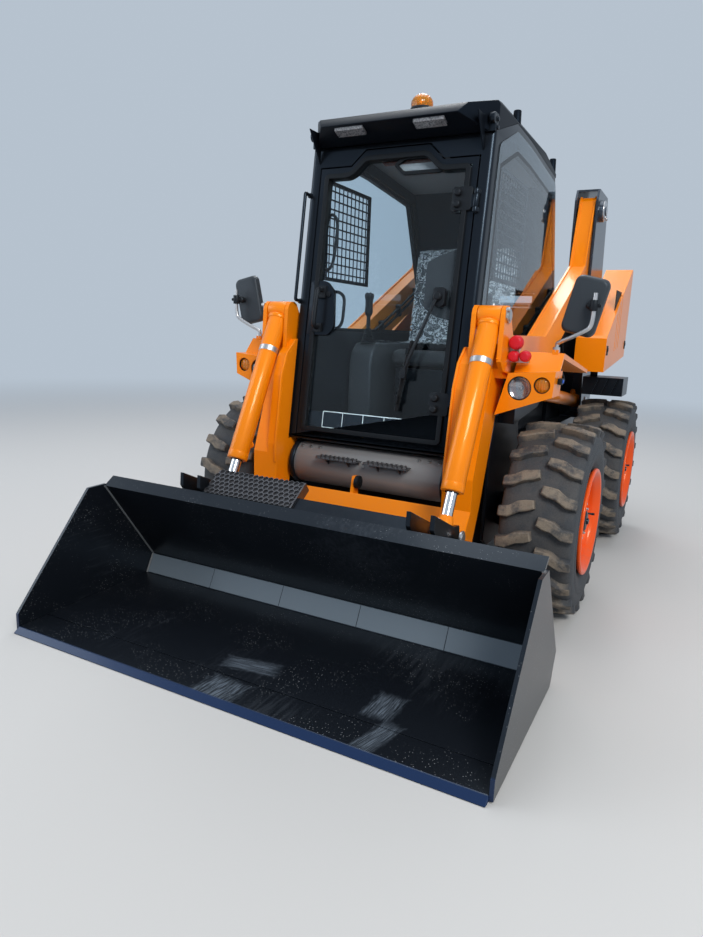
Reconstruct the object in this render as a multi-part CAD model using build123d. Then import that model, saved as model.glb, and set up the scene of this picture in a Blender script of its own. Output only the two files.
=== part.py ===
from build123d import *
import os
from math import cos, hypot, pi, radians, sin

os.makedirs("parts", exist_ok=True)

# A skid-steer loader with its bucket flat on the ground, in millimetres.
# X points to the machine's left, Y to its rear and Z up.
# The origin is on the ground, in the middle of the overall length.

# Stance: the two axles, the cutting edge ahead and the bumper behind
wheelbase = 1340
bucket_reach = 1393
rear_overhang = 790
overall_length = bucket_reach + wheelbase + rear_overhang
front_axle_y = bucket_reach - overall_length / 2
rear_axle_y = front_axle_y + wheelbase

# Wheels
tyre_diameter = 796
tyre_width = 305
lug_height = 30
lug_count = 20
lug_width = 52
lug_slant = 28
track_width = 1465
rim_diameter = 444
rim_bead_diameter = 408
rim_wall = 12
rim_sides = 40
rim_dish = 62
hub_diameter = 190
hub_length = 60
axle_diameter = 70
axle_housing_diameter = 150
running_gap = 0.3
axle_height = tyre_diameter / 2

# Chassis tub
tub_half_width = 500
tub_wall = 12
tub_bottom = 270
tub_top = 655
tub_nose = 235
tub_ear_top = 820
tub_tail = 640
tub_tail_recess = 100
drum_depth = 132
drum_height = 186
drum_half = 368
step_half = 214

# Boom: side outline, measured from the tower pivot down to the hinge pin
arm_inner_x = 445
arm_width = 90
arm_depth = 175
arm_plate = 10
arm_flange = 7
cab_clearance = 12
leg_inner_x = 385
leg_width = 120
pivot_behind_rear_axle = 110
pivot_height = 1865
pivot_pin_diameter = 50
arm_level_top = 1143
hinge_ahead = 535
hinge_height = 285
hinge_pin_diameter = 45
hinge_slot_x = 438
coupler_diameter = 26

# Towers
tower_plate = 12
tower_gap = 8
tower_top = 1975

# Lift cylinders
lift_base_behind = 280
lift_base_height = 750
lift_eye_behind = 320
lift_eye_height = 895
lift_barrel_diameter = 76
lift_rod_diameter = 45
lift_head_gap = 96
lift_lug = 12

# Tilt cylinders
tilt_x = 480
tilt_top_ahead = 293
tilt_top_height = 1213
tilt_foot_ahead = 674
tilt_foot_height = 443
tilt_barrel_diameter = 84
tilt_rod_diameter = 42
tilt_barrel_length = 700
tilt_retract = 90
tilt_lean_when_dumped = 18.5
tilt_ear_plate = 18
eye_diameter = 76
eye_width = 52
side_clearance = 5
pin_diameter = 40

# Bucket
bucket_width = 1810
bucket_plate = 12
bucket_top_ahead = 946
bucket_top_height = 476
bucket_heel_ahead = 725
bucket_heel_height = 33
bucket_strip_ahead = 685
bucket_strip_height = 113
bucket_nose_height = 67
bucket_nose_back = 25
bucket_flat = 80
bucket_ground_gap = 2
lip_depth = 58
edge_depth = 190
edge_plate = 18
hitch_half = 575
hitch_plate = 22
hitch_tube = 60

# Cab
cab_half_width = 405
cab_wall = 36
cab_floor_plate = 20
door_sill_above = 18
door_sill_ahead = 345
door_top_ahead = 183
door_top_height = 1812
door_half_width = 352
door_plate = 32
door_frame_width = 26
bump_height = 62
bump_half = 142
bump_foot = 206
glass_thickness = 6
roof_crown = 70
roof_top_half = 332
visor_half = 290
window_low = 1130
door_gap = 6
door_rest = 26
hinge_stand = 14
hinge_leaf = 28
hinge_barrel_diameter = 22
hinge_barrel_length = 48
hinge_rod_diameter = 10

# Window guards
guard_bars = 10

# Side boxes beside the engine
pod_outer_x = 718
pod_wall = 6
pod_slot_width = 16

# Engine and its covers
engine_width = 560
engine_length = 620
engine_height = 620
engine_room = 10
hood_half_width = 418
hood_height = 1300
sheet = 6
tail_plate = 30

# Mirrors
mirror_width = 130
mirror_height = 226
mirror_depth = 40
mirror_lean = 13

# Front lamps
headlamp_diameter = 92
indicator_diameter = 62
lamp_recess = 24
lamp_rim = 8


def prism_x(outline, x_from, x_to):
    """A prism along X whose side outline is given as (y, z) points."""
    face = make_face(Plane.YZ.offset(x_from) * Polyline(*outline, close=True))
    return extrude(face, x_to - x_from, dir=(1, 0, 0))


def prism_y(outline, y_from, y_to):
    """A prism along Y whose front outline is given as (x, z) points."""
    points = [(x, y_from, z) for x, z in outline]
    face = make_face(Polyline(*points, close=True))
    return extrude(face, y_to - y_from, dir=(0, 1, 0))


def box(x, y, z):
    """A box from three (low, high) pairs."""
    size = [high - low for low, high in (x, y, z)]
    middle = [(high + low) / 2 for low, high in (x, y, z)]
    return Pos(*middle) * Box(*size)


def bar_x(diameter, x_from, x_to, y, z):
    """A round bar along X."""
    middle = (x_from + x_to) / 2
    return Pos(middle, y, z) * Rot(0, 90, 0) * Cylinder(diameter / 2, x_to - x_from)


def rod_along(diameter, place, length, sides=16):
    """A bar with flat sides, along the Z axis of a place."""
    return place * extrude(RegularPolygon(diameter / 2, sides), length)


def bar_between(diameter, start, end):
    """A round bar from one point to another."""
    start, end = Vector(*start), Vector(*end)
    plane = Plane(origin=start, z_dir=end - start)
    return plane * Cylinder(
        diameter / 2, (end - start).length, align=(Align.CENTER, Align.CENTER, Align.MIN)
    )


def other_side(solid):
    """The same solid on the machine's right."""
    return mirror(solid, Plane.YZ)


def save(solid, name):
    export_step(solid, f"parts/{name}.step")


def save_pair(solid, name):
    """One node on the machine's left and its mirror image on the right."""
    save(solid, f"{name}_left")
    save(other_side(solid), f"{name}_right")


def save_both(solid, name):
    """One node that holds the solid on the left and its mirror image on the right."""
    save(solid + other_side(solid), name)


# Wheels: a rim with a dished disc and a tyre with two rows of slanted lugs
tread_radius = tyre_diameter / 2 - lug_height
wheel_outer = tyre_width / 2


def turned_section(outline, sides, turn=0.0, to_flats=True):
    """A closed (radius, x) section turned round the X axis into plane faces.

    The radii are measured to the flats, or to the corners between them.
    """
    step = 2 * pi / sides
    stretch = 1 / cos(step / 2) if to_flats else 1
    faces = []
    for number in range(sides):
        low = radians(turn) + (number - 0.5) * step
        high = low + step
        for (radius, x), (next_radius, next_x) in zip(outline, outline[1:] + outline[:1]):
            corners = [
                (x, -radius * stretch * sin(low), -radius * stretch * cos(low)),
                (next_x, -next_radius * stretch * sin(low), -next_radius * stretch * cos(low)),
                (next_x, -next_radius * stretch * sin(high), -next_radius * stretch * cos(high)),
                (x, -radius * stretch * sin(high), -radius * stretch * cos(high)),
            ]
            faces.append(make_face(Polyline(*corners, close=True)).face())
    return Solid(Shell(faces))


def build_tyre():
    """A tyre round the X axis, with its outer side towards +X and a lug on each flat of its sides."""
    crown = wheel_outer - 22
    bore = rim_bead_diameter / 2 + running_gap
    # Section from the bore to the tread and back: radius, x
    outline = [
        (bore - 5, 0),
        (tread_radius, 0),
        (tread_radius, crown),
        (rim_diameter / 2 + 58, wheel_outer - 6),
        (rim_diameter / 2 - 6, wheel_outer - 38),
        (bore - 5, wheel_outer - 38),
    ]
    lug_length = crown + 8
    lug_reach = (lug_length * sin(radians(lug_slant)) + lug_width * cos(radians(lug_slant))) / 2
    lug_top = (tyre_diameter**2 / 4 - lug_reach**2) ** 0.5
    lug_block = Box(lug_length, lug_width, 2 * (lug_top - tread_radius))
    lug_middle = (crown + 20) / 2
    pitch = 360 / lug_count
    halves = []
    for side, turn in ((-1, 0), (1, pitch / 2)):
        half = turned_section([(radius, side * x) for radius, x in outline], lug_count, turn)
        lug = Pos(side * lug_middle, 0, -tread_radius) * Rot(0, 0, lug_slant * side) * lug_block
        halves.append(half.fuse(*[Rot(-number * pitch - turn, 0, 0) * lug for number in range(lug_count)]))
    seat = rod_along(2 * bore / cos(pi / lug_count), Pos(-wheel_outer, 0, 0) * Rot(0, 90, 0), tyre_width, lug_count)
    return halves[0] + halves[1] - seat


def build_rim():
    """A rim round the X axis, with its outer side towards +X."""
    flange = rim_diameter / 2
    bead = rim_bead_diameter / 2
    disc = wheel_outer - rim_dish
    hub = hub_diameter / 2
    bore = axle_diameter / 2 + running_gap
    # Section from the outer flange to the hub: radius, x
    outline = [
        (flange, wheel_outer - 4),
        (flange - 10, wheel_outer),
        (bead - rim_wall, wheel_outer - 26),
        (bead - rim_wall, disc),
        (hub, disc - 14),
        (hub, disc + 6),
        (axle_diameter / 2 + 14, disc + 20),
        (bore - 2, disc + 20),
        (bore - 2, disc - hub_length),
        (hub, disc - hub_length),
        (hub, disc - 34),
        (bead - rim_wall, disc - 24),
        (bead - rim_wall, -wheel_outer + 20),
        (flange, -wheel_outer + 8),
        (bead, -wheel_outer + 30),
        (bead, wheel_outer - 30),
        (flange, wheel_outer - 14),
    ]
    rim = turned_section(outline, rim_sides, to_flats=False)
    return rim - bar_x(2 * bore, disc - hub_length - 5, disc + 25, 0, 0)


tyre = build_tyre()
rim = build_rim()
wheel_x = track_width / 2
for end, wheel_y in (("front", front_axle_y), ("rear", rear_axle_y)):
    for solid, name in ((tyre, "tyre"), (rim, "rim")):
        save_pair(Pos(wheel_x, wheel_y, axle_height) * solid, f"{name}_{end}")

# Axle housings: a tube from the tub's side plate, and the shaft that the hub turns on
hub_face = wheel_x + wheel_outer - rim_dish
housing_end = hub_face - hub_length - 2
axles = Part()
for wheel_y in (front_axle_y, rear_axle_y):
    axles += bar_x(axle_housing_diameter, tub_half_width, housing_end, wheel_y, axle_height)
    axles += bar_x(axle_diameter, housing_end, hub_face + 12, wheel_y, axle_height)
save_both(axles, "axles")

# Chassis tub: side plates, floor, cross plates and the deck under the cab
tub_front = front_axle_y - tub_nose
tub_back = rear_axle_y + tub_tail
tub_side = [
    (tub_front, tub_bottom + 40),
    (tub_front + 60, tub_bottom),
    (tub_back - tub_tail_recess, tub_bottom),
    (tub_back, tub_bottom + 110),
    (tub_back, tub_top),
    (front_axle_y + 220, tub_top),
    (front_axle_y + 160, tub_ear_top),
    (tub_front + 45, tub_ear_top),
    (tub_front, tub_ear_top - 120),
]
deck_back = rear_axle_y - 230
floor_front = tub_front + 60
floor_back = tub_back - tub_tail_recess
tub = prism_x(tub_side, tub_half_width - tub_wall, tub_half_width)
tub += other_side(tub)
inside = tub_half_width - tub_wall
tub += box((-inside, inside), (floor_front, floor_back), (tub_bottom, tub_bottom + tub_wall))
tub += box((-inside, inside), (tub_front + 20, floor_back), (tub_top - tub_wall, tub_top))
engine_y = rear_axle_y - 130
engine_across = (-engine_width / 2 - engine_room, engine_width / 2 + engine_room)
engine_along = (engine_y - engine_room, engine_y + engine_length + engine_room)
tub -= box(engine_across, engine_along, (tub_top - tub_wall, tub_top))
tub += box((-inside, inside), (floor_front, floor_front + tub_wall), (tub_bottom, tub_top))
tub += box((-inside, inside), (deck_back - tub_wall, deck_back), (tub_bottom, tub_top))
tub += box((-inside, inside), (floor_back - tub_wall, floor_back), (tub_bottom, tub_top - 120))
save(tub, "chassis_tub")

# Rounded front cross member below the door, with its two end caps
drum_middle = tub_top - 14 - drum_height / 2
drum_front = tub_front - drum_depth
drum = box(
    (-drum_half, drum_half),
    (drum_front + drum_height / 2, floor_front),
    (drum_middle - drum_height / 2, drum_middle + drum_height / 2),
)
drum += bar_x(drum_height, -drum_half, drum_half, drum_front + drum_height / 2, drum_middle)
save(drum, "front_drum")

# Two anti-slip steps on a shelf under the door
step_height = tub_top - 62
steps = box((-step_half, step_half), (drum_front - 42, drum_front + 14), (step_height, step_height + 10))
steps -= box((-14, 14), (drum_front - 42, drum_front - 12), (step_height, step_height + 10))
for place in (-120, 120):
    brace = [(drum_front + 14, step_height), (drum_front - 30, step_height), (drum_front + 14, step_height - 40)]
    steps += prism_x(brace, place - 5, place + 5)
steps -= drum
save(steps, "door_steps")

# Towers: an inner and an outer plate with a cap over the arm's rear end
pivot_y = rear_axle_y + pivot_behind_rear_axle
tower_inner_x = arm_inner_x - tower_gap - tower_plate
tower_outer_x = arm_inner_x + arm_width + tower_gap + tower_plate
tower_foot = tub_top
tower_back = rear_axle_y + 470
tower_shoulder = 1280
cap_front = pivot_y - 75
cap_back = pivot_y + 215
tower_side = [
    (rear_axle_y + 170, tower_foot),
    (rear_axle_y + 20, tower_shoulder - 100),
    (cap_front - 30, tower_top - 60),
    (cap_front, tower_top),
    (cap_back, tower_top),
    (cap_back + 30, tower_top - 60),
    (tower_back, tower_shoulder),
    (tower_back, tower_foot),
]
across_tower = (tower_inner_x, tower_outer_x)
tower = prism_x(tower_side, tower_inner_x, tower_inner_x + tower_plate)
tower += prism_x(tower_side, tower_outer_x - tower_plate, tower_outer_x)
tower += box(across_tower, (cap_front, cap_back), (tower_top - tower_plate, tower_top))
tower += box(across_tower, (tower_back - tower_plate, tower_back), (tower_foot, tower_shoulder))
tower += box(across_tower, (rear_axle_y + 165, tower_back), (tower_foot, tower_foot + tower_plate))
hub_length_out = 22
tower += bar_x(pivot_pin_diameter + 70, tower_outer_x, tower_outer_x + hub_length_out, pivot_y, pivot_height)
tower += bar_x(pivot_pin_diameter, tower_inner_x, tower_outer_x + hub_length_out + 12, pivot_y, pivot_height)
lift_base_y = rear_axle_y + lift_base_behind
tower += bar_x(pin_diameter, tower_inner_x, tower_outer_x, lift_base_y, lift_base_height)
save_both(tower, "towers")

# Boom arm: the side beam from the pivot to the knee, and the leg down to the hinge pin
hinge_y = front_axle_y - hinge_ahead
arm_outer_x = arm_inner_x + arm_width
leg_outer_x = leg_inner_x + leg_width
beam_bottom = arm_level_top - arm_depth
knee_y = front_axle_y - 130
beam_outline = [
    (pivot_y - 70, pivot_height + 52),
    (pivot_y - 45, pivot_height + 76),
    (pivot_y + 30, pivot_height + 82),
    (pivot_y + 70, pivot_height + 50),
    (pivot_y + 60, 1540),
    (rear_axle_y + 10, 1385),
    (front_axle_y + 430, beam_bottom + 12),
    (knee_y, beam_bottom),
    (knee_y - 140, beam_bottom + 10),
    (knee_y - 220, arm_level_top - 90),
    (knee_y - 170, arm_level_top - 40),
    (knee_y - 60, arm_level_top - 8),
    (knee_y, arm_level_top),
    (front_axle_y + 420, arm_level_top),
    (rear_axle_y - 75, 1545),
]
leg_outline = [
    (knee_y, beam_bottom),
    (front_axle_y - 213, 841),
    (front_axle_y - 334, 487),
    (front_axle_y - 405, 330),
    (hinge_y + 65, hinge_height - 25),
    (hinge_y - 25, hinge_height - 55),
    (hinge_y - 58, hinge_height + 15),
    (front_axle_y - 520, 378),
    (front_axle_y - 447, 478),
    (front_axle_y - 449, 640),
    (front_axle_y - 408, 935),
    (front_axle_y - 370, 1030),
    (front_axle_y - 300, 1090),
    (knee_y - 60, arm_level_top - 8),
    (knee_y, arm_level_top),
]
arm = prism_x(leg_outline, leg_inner_x, leg_outer_x)
# The leg stays ahead of the cab's front posts
cab_floor = tub_top
door_foot_y = front_axle_y - door_sill_ahead
door_head_y = front_axle_y - door_top_ahead
post_front = [
    (door_foot_y - cab_clearance, cab_floor),
    (door_head_y - cab_clearance, door_top_height),
    (door_head_y + 400, door_top_height),
    (door_head_y + 400, cab_floor),
]
arm -= prism_x(post_front, 0, cab_half_width + cab_clearance)
beam = prism_x(beam_outline, arm_inner_x, arm_outer_x)
# Its side plates stand proud of the box between them, where the beam rises
beam_side = make_face(Plane.YZ.offset(arm_inner_x + arm_plate) * Polyline(*beam_outline, close=True))
core_side = offset(beam_side, -arm_flange, kind=Kind.INTERSECTION)
flange_gap = extrude(beam_side, arm_width - 2 * arm_plate, dir=(1, 0, 0))
flange_gap -= extrude(core_side, arm_width - 2 * arm_plate, dir=(1, 0, 0))
beam -= flange_gap & box((0, arm_outer_x), (front_axle_y + 440, pivot_y + 200), (0, pivot_height + 300))
arm += beam

# Tilt cylinder: where it stands, and the room that it needs as it swings back
tilt_top_y = front_axle_y - tilt_top_ahead
tilt_foot_y = front_axle_y - tilt_foot_ahead
tilt_room = tilt_barrel_diameter / 2 + side_clearance
swing_lean = radians(tilt_lean_when_dumped)
swing_down = (-sin(swing_lean), -cos(swing_lean))
swing_back = (cos(swing_lean), -sin(swing_lean))


def beside_barrel(down, back):
    """A point beside the dumped barrel, down from its top pin and back from its middle."""
    return (
        tilt_top_y + swing_down[0] * down + swing_back[0] * back,
        tilt_top_height + swing_down[1] * down + swing_back[1] * back,
    )


barrel_room = [
    beside_barrel(-60, tilt_room),
    beside_barrel(tilt_barrel_length + 20, tilt_room),
    beside_barrel(tilt_barrel_length + 20, -400),
    beside_barrel(-60, -400),
]
arm -= prism_x(barrel_room, tilt_x - tilt_room, tilt_x + tilt_room)
# Clevis ears for the top of the tilt cylinder
ear_outline = [
    (tilt_top_y + 110, arm_level_top - 30),
    (tilt_top_y + 42, tilt_top_height + 8),
    (tilt_top_y + 30, tilt_top_height + 28),
    (tilt_top_y + 10, tilt_top_height + 38),
    (tilt_top_y - 14, tilt_top_height + 37),
    (tilt_top_y - 32, tilt_top_height + 24),
    (tilt_top_y - 40, tilt_top_height + 4),
    (tilt_top_y - 52, arm_level_top - 100),
    (tilt_top_y - 10, beam_bottom + 40),
    (tilt_top_y + 100, beam_bottom + 20),
]
for inner in (tilt_x - tilt_room - tilt_ear_plate, tilt_x + tilt_room):
    arm += prism_x(ear_outline, inner, inner + tilt_ear_plate)
arm += bar_x(pin_diameter, tilt_x - tilt_room, tilt_x + tilt_room, tilt_top_y, tilt_top_height)
# The hinge lug of the quick hitch turns in a slot that is open below
hitch_ear = 16
hinge_slot = (hinge_slot_x - hitch_ear / 2 - side_clearance, hinge_slot_x + hitch_ear / 2 + side_clearance)
slot_reach = 130
arm -= box(hinge_slot, (hinge_y - slot_reach, hinge_y + slot_reach), (0, hinge_height + slot_reach))
arm -= bar_x(pivot_pin_diameter + 2 * running_gap, leg_inner_x, arm_outer_x, pivot_y, pivot_height)
arm -= bar_x(hinge_pin_diameter + 2 * running_gap, leg_inner_x, arm_outer_x, hinge_y, hinge_height)
# Lugs for the top of the lift cylinder
lift_eye_y = front_axle_y + lift_eye_behind
lug_outline = [
    (lift_eye_y - 110, beam_bottom + 20),
    (lift_eye_y - 34, lift_eye_height - 20),
    (lift_eye_y - 14, lift_eye_height - 38),
    (lift_eye_y + 14, lift_eye_height - 38),
    (lift_eye_y + 34, lift_eye_height - 20),
    (lift_eye_y + 110, beam_bottom + 20),
]
for inner in (arm_inner_x, arm_outer_x - lift_lug):
    arm += prism_x(lug_outline, inner, inner + lift_lug)
# Room for the eye and the rod, where they are higher than the arm's underside
lift_x = (arm_inner_x + arm_outer_x) / 2
eye_room = eye_width / 2 + side_clearance
arm -= bar_x(eye_diameter + 2 * side_clearance, lift_x - eye_room, lift_x + eye_room, lift_eye_y, lift_eye_height)
lift_eye = (lift_x, lift_eye_y, lift_eye_height)
lift_foot = (lift_x, rear_axle_y + lift_base_behind, lift_base_height)
arm -= bar_between(lift_rod_diameter + 2 * side_clearance, lift_eye, lift_foot)
barrel_share = (lift_head_gap - 20) / hypot(lift_foot[1] - lift_eye_y, lift_base_height - lift_eye_height)
barrel_start = [a + (b - a) * barrel_share for a, b in zip(lift_eye, lift_foot)]
arm -= bar_between(lift_barrel_diameter + 2 * side_clearance, barrel_start, lift_foot)
save_both(arm, "arms")

# Cross member between the legs, with the stop roller on its top edge
cross_outline = [
    (front_axle_y - 446, 478),
    (front_axle_y - 532, 262),
    (front_axle_y - 430, 225),
    (front_axle_y - 372, 400),
    (front_axle_y - 400, 462),
]
cross = prism_x(cross_outline, -leg_inner_x, leg_inner_x)
cross += prism_x(
    [
        (front_axle_y - 446, 470),
        (front_axle_y - 430, 545),
        (front_axle_y - 404, 545),
        (front_axle_y - 396, 455),
    ],
    -18,
    -4,
)
cross += bar_x(52, -4, 14, front_axle_y - 420, 520)
save(cross, "boom_cross_member")

# Hydraulic couplers beside the left tilt cylinder's outer ear, pointing ahead
coupler_x = tilt_x + tilt_room + tilt_ear_plate
coupler_y = tilt_top_y + 77
coupler_low = arm_level_top - 103
couplers = box((coupler_x, coupler_x + 72), (coupler_y, coupler_y + 22), (coupler_low, coupler_low + 38))
couplers += box((coupler_x, coupler_x + 32), (coupler_y, coupler_y + 22), (coupler_low, coupler_low + 86))
for across, up in ((17, 68), (17, 19), (55, 21)):
    couplers += rod_along(coupler_diameter, Pos(coupler_x + across, coupler_y + 5, coupler_low + up) * Rot(90, 0, 0), 41)
save(couplers, "coupler_block")


def cylinder_pair(name, x, foot, head, barrel_diameter, rod_diameter, barrel_length, foot_width, retract):
    """A barrel with its eye at foot and a rod with its eye at head, both (y, z)."""
    length = hypot(head[0] - foot[0], head[1] - foot[1])
    way = ((head[0] - foot[0]) / length, (head[1] - foot[1]) / length)

    def along(distance):
        return (x, foot[0] + way[0] * distance, foot[1] + way[1] * distance)

    neck = eye_diameter / 2 - 8
    bore_start = neck + 60
    piston = bore_start + 10 + retract
    barrel = bar_between(barrel_diameter, along(neck), along(barrel_length))
    barrel += bar_x(eye_diameter, x - foot_width / 2, x + foot_width / 2, *foot)
    barrel -= bar_between(rod_diameter + 10, along(bore_start), along(barrel_length + 5))
    barrel -= bar_x(pin_diameter + 2 * running_gap, x - foot_width, x + foot_width, *foot)
    save_pair(barrel, f"{name}_barrel")
    rod = bar_between(rod_diameter, along(piston), along(length - neck))
    rod += bar_between(rod_diameter + 10 - 2 * running_gap, along(piston), along(piston + 40))
    rod += bar_x(eye_diameter, x - eye_width / 2, x + eye_width / 2, *head)
    rod += bar_x(pin_diameter, x - eye_width / 2 - 3, x + eye_width / 2 + 3, *head)
    save_pair(rod, f"{name}_rod")


lift_base = (lift_base_y, lift_base_height)
lift_eye = (lift_eye_y, lift_eye_height)
lift_barrel_length = hypot(lift_eye[0] - lift_base[0], lift_eye[1] - lift_base[1]) - lift_head_gap
# Columns: name, x, barrel eye, rod eye, barrel and rod diameters, barrel length, eye width, retract
cylinders = [
    (
        "tilt", tilt_x, (tilt_top_y, tilt_top_height), (tilt_foot_y, tilt_foot_height),
        tilt_barrel_diameter, tilt_rod_diameter, tilt_barrel_length, 2 * tilt_room - 6, tilt_retract,
    ),
    (
        "lift", lift_x, lift_base, lift_eye,
        lift_barrel_diameter, lift_rod_diameter, lift_barrel_length, eye_width, 0,
    ),
]
for cylinder in cylinders:
    cylinder_pair(*cylinder)

# Bucket: floor, strip, back and top lip as one bent plate, with two side plates
edge_y = front_axle_y - bucket_reach
heel = (front_axle_y - bucket_heel_ahead, bucket_heel_height)
strip = (front_axle_y - bucket_strip_ahead, bucket_strip_height)
top = (front_axle_y - bucket_top_ahead, bucket_top_height)
back_length = hypot(top[0] - strip[0], top[1] - strip[1])
back_way = ((top[0] - strip[0]) / back_length, (top[1] - strip[1]) / back_length)
back_out = (back_way[1], -back_way[0])


def on_back(along, out):
    """A point given up along the bucket's back from the strip, and out from it."""
    return (
        strip[0] + back_way[0] * along + back_out[0] * out,
        strip[1] + back_way[1] * along + back_out[1] * out,
    )


bucket_outline = [
    (edge_y + edge_depth - 40, bucket_ground_gap + edge_plate + 2),
    heel,
    strip,
    top,
    on_back(back_length, lip_depth),
    on_back(back_length - bucket_plate, lip_depth),
    on_back(back_length - bucket_plate, bucket_plate),
    on_back(0, bucket_plate),
    (heel[0] + bucket_plate, heel[1] - bucket_plate),
    (edge_y + edge_depth - 40, bucket_ground_gap + 2),
]
half_bucket = bucket_width / 2
shell = prism_x(bucket_outline, -half_bucket + bucket_plate, half_bucket - bucket_plate)
side_outline = [
    (edge_y + bucket_nose_back, bucket_ground_gap + 4),
    (edge_y + bucket_nose_back, bucket_nose_height),
    (top[0] - bucket_flat, top[1] + 4),
    (top[0] + 8, top[1] + 6),
    (strip[0] + bucket_plate + 4, strip[1]),
    (heel[0] + bucket_plate + 4, heel[1] - bucket_plate),
    (heel[0], bucket_ground_gap + 4),
]
side = prism_x(side_outline, half_bucket - bucket_plate, half_bucket)
shell += side + other_side(side)
save(shell, "bucket_shell")
edge_outline = [
    (edge_y, bucket_ground_gap),
    (edge_y + 26, bucket_ground_gap + edge_plate),
    (edge_y + edge_depth - 40, bucket_ground_gap + edge_plate),
    (edge_y + edge_depth - 40, bucket_ground_gap),
]
edge = prism_x(edge_outline, -half_bucket + bucket_plate, half_bucket - bucket_plate)
save(edge, "cutting_edge")

# Quick hitch: a base plate parallel to the bucket's back, with ears for both pins
hitch_seat = bucket_plate
hitch_out = hitch_seat + hitch_plate
hitch_top = back_length - bucket_plate - 4
hitch = prism_x(
    [on_back(20, hitch_seat), on_back(hitch_top, hitch_seat), on_back(hitch_top, hitch_out), on_back(20, hitch_out)],
    -hitch_half,
    hitch_half,
)
# The frame is open in the middle, and a tube closes its top
opening_half = hitch_half - 250
tube_low = hitch_top - hitch_tube
hitch -= prism_x(
    [on_back(110, 0), on_back(tube_low, 0), on_back(tube_low, 90), on_back(110, 90)], -opening_half, opening_half
)
tube_out = lip_depth + 4 + hitch_tube
hitch += prism_x(
    [on_back(tube_low, hitch_out), on_back(hitch_top, hitch_out), on_back(hitch_top, tube_out), on_back(tube_low, tube_out)],
    -hinge_slot_x,
    hinge_slot_x,
)
ear = [
    on_back(30, hitch_out),
    on_back(60, hitch_out + 110),
    (hinge_y - 10, hinge_height - 52),
    (hinge_y + 42, hinge_height - 30),
    (hinge_y + 50, hinge_height + 18),
    (hinge_y + 22, hinge_height + 50),
    (tilt_foot_y + 44, tilt_foot_height - 6),
    (tilt_foot_y + 30, tilt_foot_height + 36),
    (tilt_foot_y - 24, tilt_foot_height + 44),
    on_back(back_length + 48, lip_depth + 40),
    on_back(back_length + 10, lip_depth + 8),
    on_back(hitch_top, lip_depth + 8),
    on_back(hitch_top, hitch_out),
]
outer_ear_x = tilt_x + eye_width / 2 + 3 + side_clearance + hitch_ear / 2
for middle in (-outer_ear_x, -hinge_slot_x, hinge_slot_x, outer_ear_x):
    hitch += prism_x(ear, middle - hitch_ear / 2, middle + hitch_ear / 2)
hinge_pin = bar_x(hinge_pin_diameter, leg_inner_x + 2, outer_ear_x + hitch_ear / 2 + 14, hinge_y, hinge_height)
hitch += hinge_pin
hitch += other_side(hinge_pin)
save(hitch, "quick_hitch")

# Anti-slip step on the hitch's top tube, on the right
step_outline = [
    on_back(hitch_top, lip_depth + 6),
    on_back(hitch_top + 10, lip_depth + 6),
    on_back(hitch_top + 10, lip_depth + 130),
    on_back(hitch_top, lip_depth + 130),
]
hitch_step = prism_x(step_outline, -hinge_slot_x + hitch_ear, -20)
save(hitch_step, "hitch_step")

# Cab frame: a hollow box with its front open and windows in its sides and rear
cab_back_y = rear_axle_y - 215
door_lean = (door_head_y - door_foot_y) / (door_top_height - cab_floor)


def door_plane_y(height, back=0):
    """How far back the door's front face is at a height, or a plane behind it."""
    return door_foot_y + door_lean * (height - cab_floor) + back


def door_slab(low, high, front, back, half_width):
    """A slab parallel to the door, from a low to a high edge."""
    outline = [
        (door_plane_y(low, front), low),
        (door_plane_y(low, back), low),
        (door_plane_y(high, back), high),
        (door_plane_y(high, front), high),
    ]
    return prism_x(outline, -half_width, half_width)


def door_panel(edge, front, back):
    """A panel shaped as the door, with its outline moved out by edge, between two depths."""
    half = door_half_width + edge
    high = door_top_height + edge
    side = [(half, door_low - edge), (half, high), (bump_foot + edge / 2, high), (bump_half + edge / 2, high + bump_height)]
    outline = side + [(-x, z) for x, z in reversed(side)]
    slab = door_slab(door_low - edge, high + bump_height, front, back, half)
    return slab & prism_y(outline, door_foot_y - 100, door_head_y + 200)


door_low = cab_floor + door_sill_above
cab_head = door_top_height + bump_height + 26
roof_height = door_top_height + 188
cab_side = [
    (door_foot_y, cab_floor),
    (door_plane_y(cab_head), cab_head),
    (front_axle_y + 120, roof_height),
    (front_axle_y + 350, roof_height - 8),
    (front_axle_y + 902, roof_height - 55),
    (cab_back_y, window_low + 270),
    (cab_back_y, cab_floor),
]
cab = prism_x(cab_side, -cab_half_width, cab_half_width)
room_front = door_plate + door_rest
room_floor = cab_floor + cab_floor_plate
cab_room = [
    (door_plane_y(room_floor, room_front), room_floor),
    (door_plane_y(cab_head, room_front), cab_head),
    (front_axle_y + 130, roof_height - 38),
    (front_axle_y + 350, roof_height - 45),
    (front_axle_y + 876, roof_height - 90),
    (cab_back_y - cab_wall, window_low + 262),
    (cab_back_y - cab_wall, room_floor),
]
cab -= prism_x(cab_room, -cab_half_width + cab_wall, cab_half_width - cab_wall)
# The door lies in a pocket, against a frame that is narrower than the door
cab -= door_panel(door_gap, -5, door_plate)
cab -= door_panel(-door_rest, 0, room_front + 5)
side_window = [
    (front_axle_y - 155, window_low),
    (front_axle_y - 90, door_top_height - 12),
    (front_axle_y + 140, roof_height - 100),
    (front_axle_y + 350, roof_height - 107),
    (front_axle_y + 850, roof_height - 152),
    (cab_back_y - 60, window_low + 270),
    (cab_back_y - 60, window_low),
]
cab -= prism_x(side_window, -cab_half_width - 5, cab_half_width + 5)
rear_pane = (window_low, window_low + 250)
rear_window = box((-300, 300), (cab_back_y - 240, cab_back_y + 10), rear_pane)
cab -= rear_window


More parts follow.
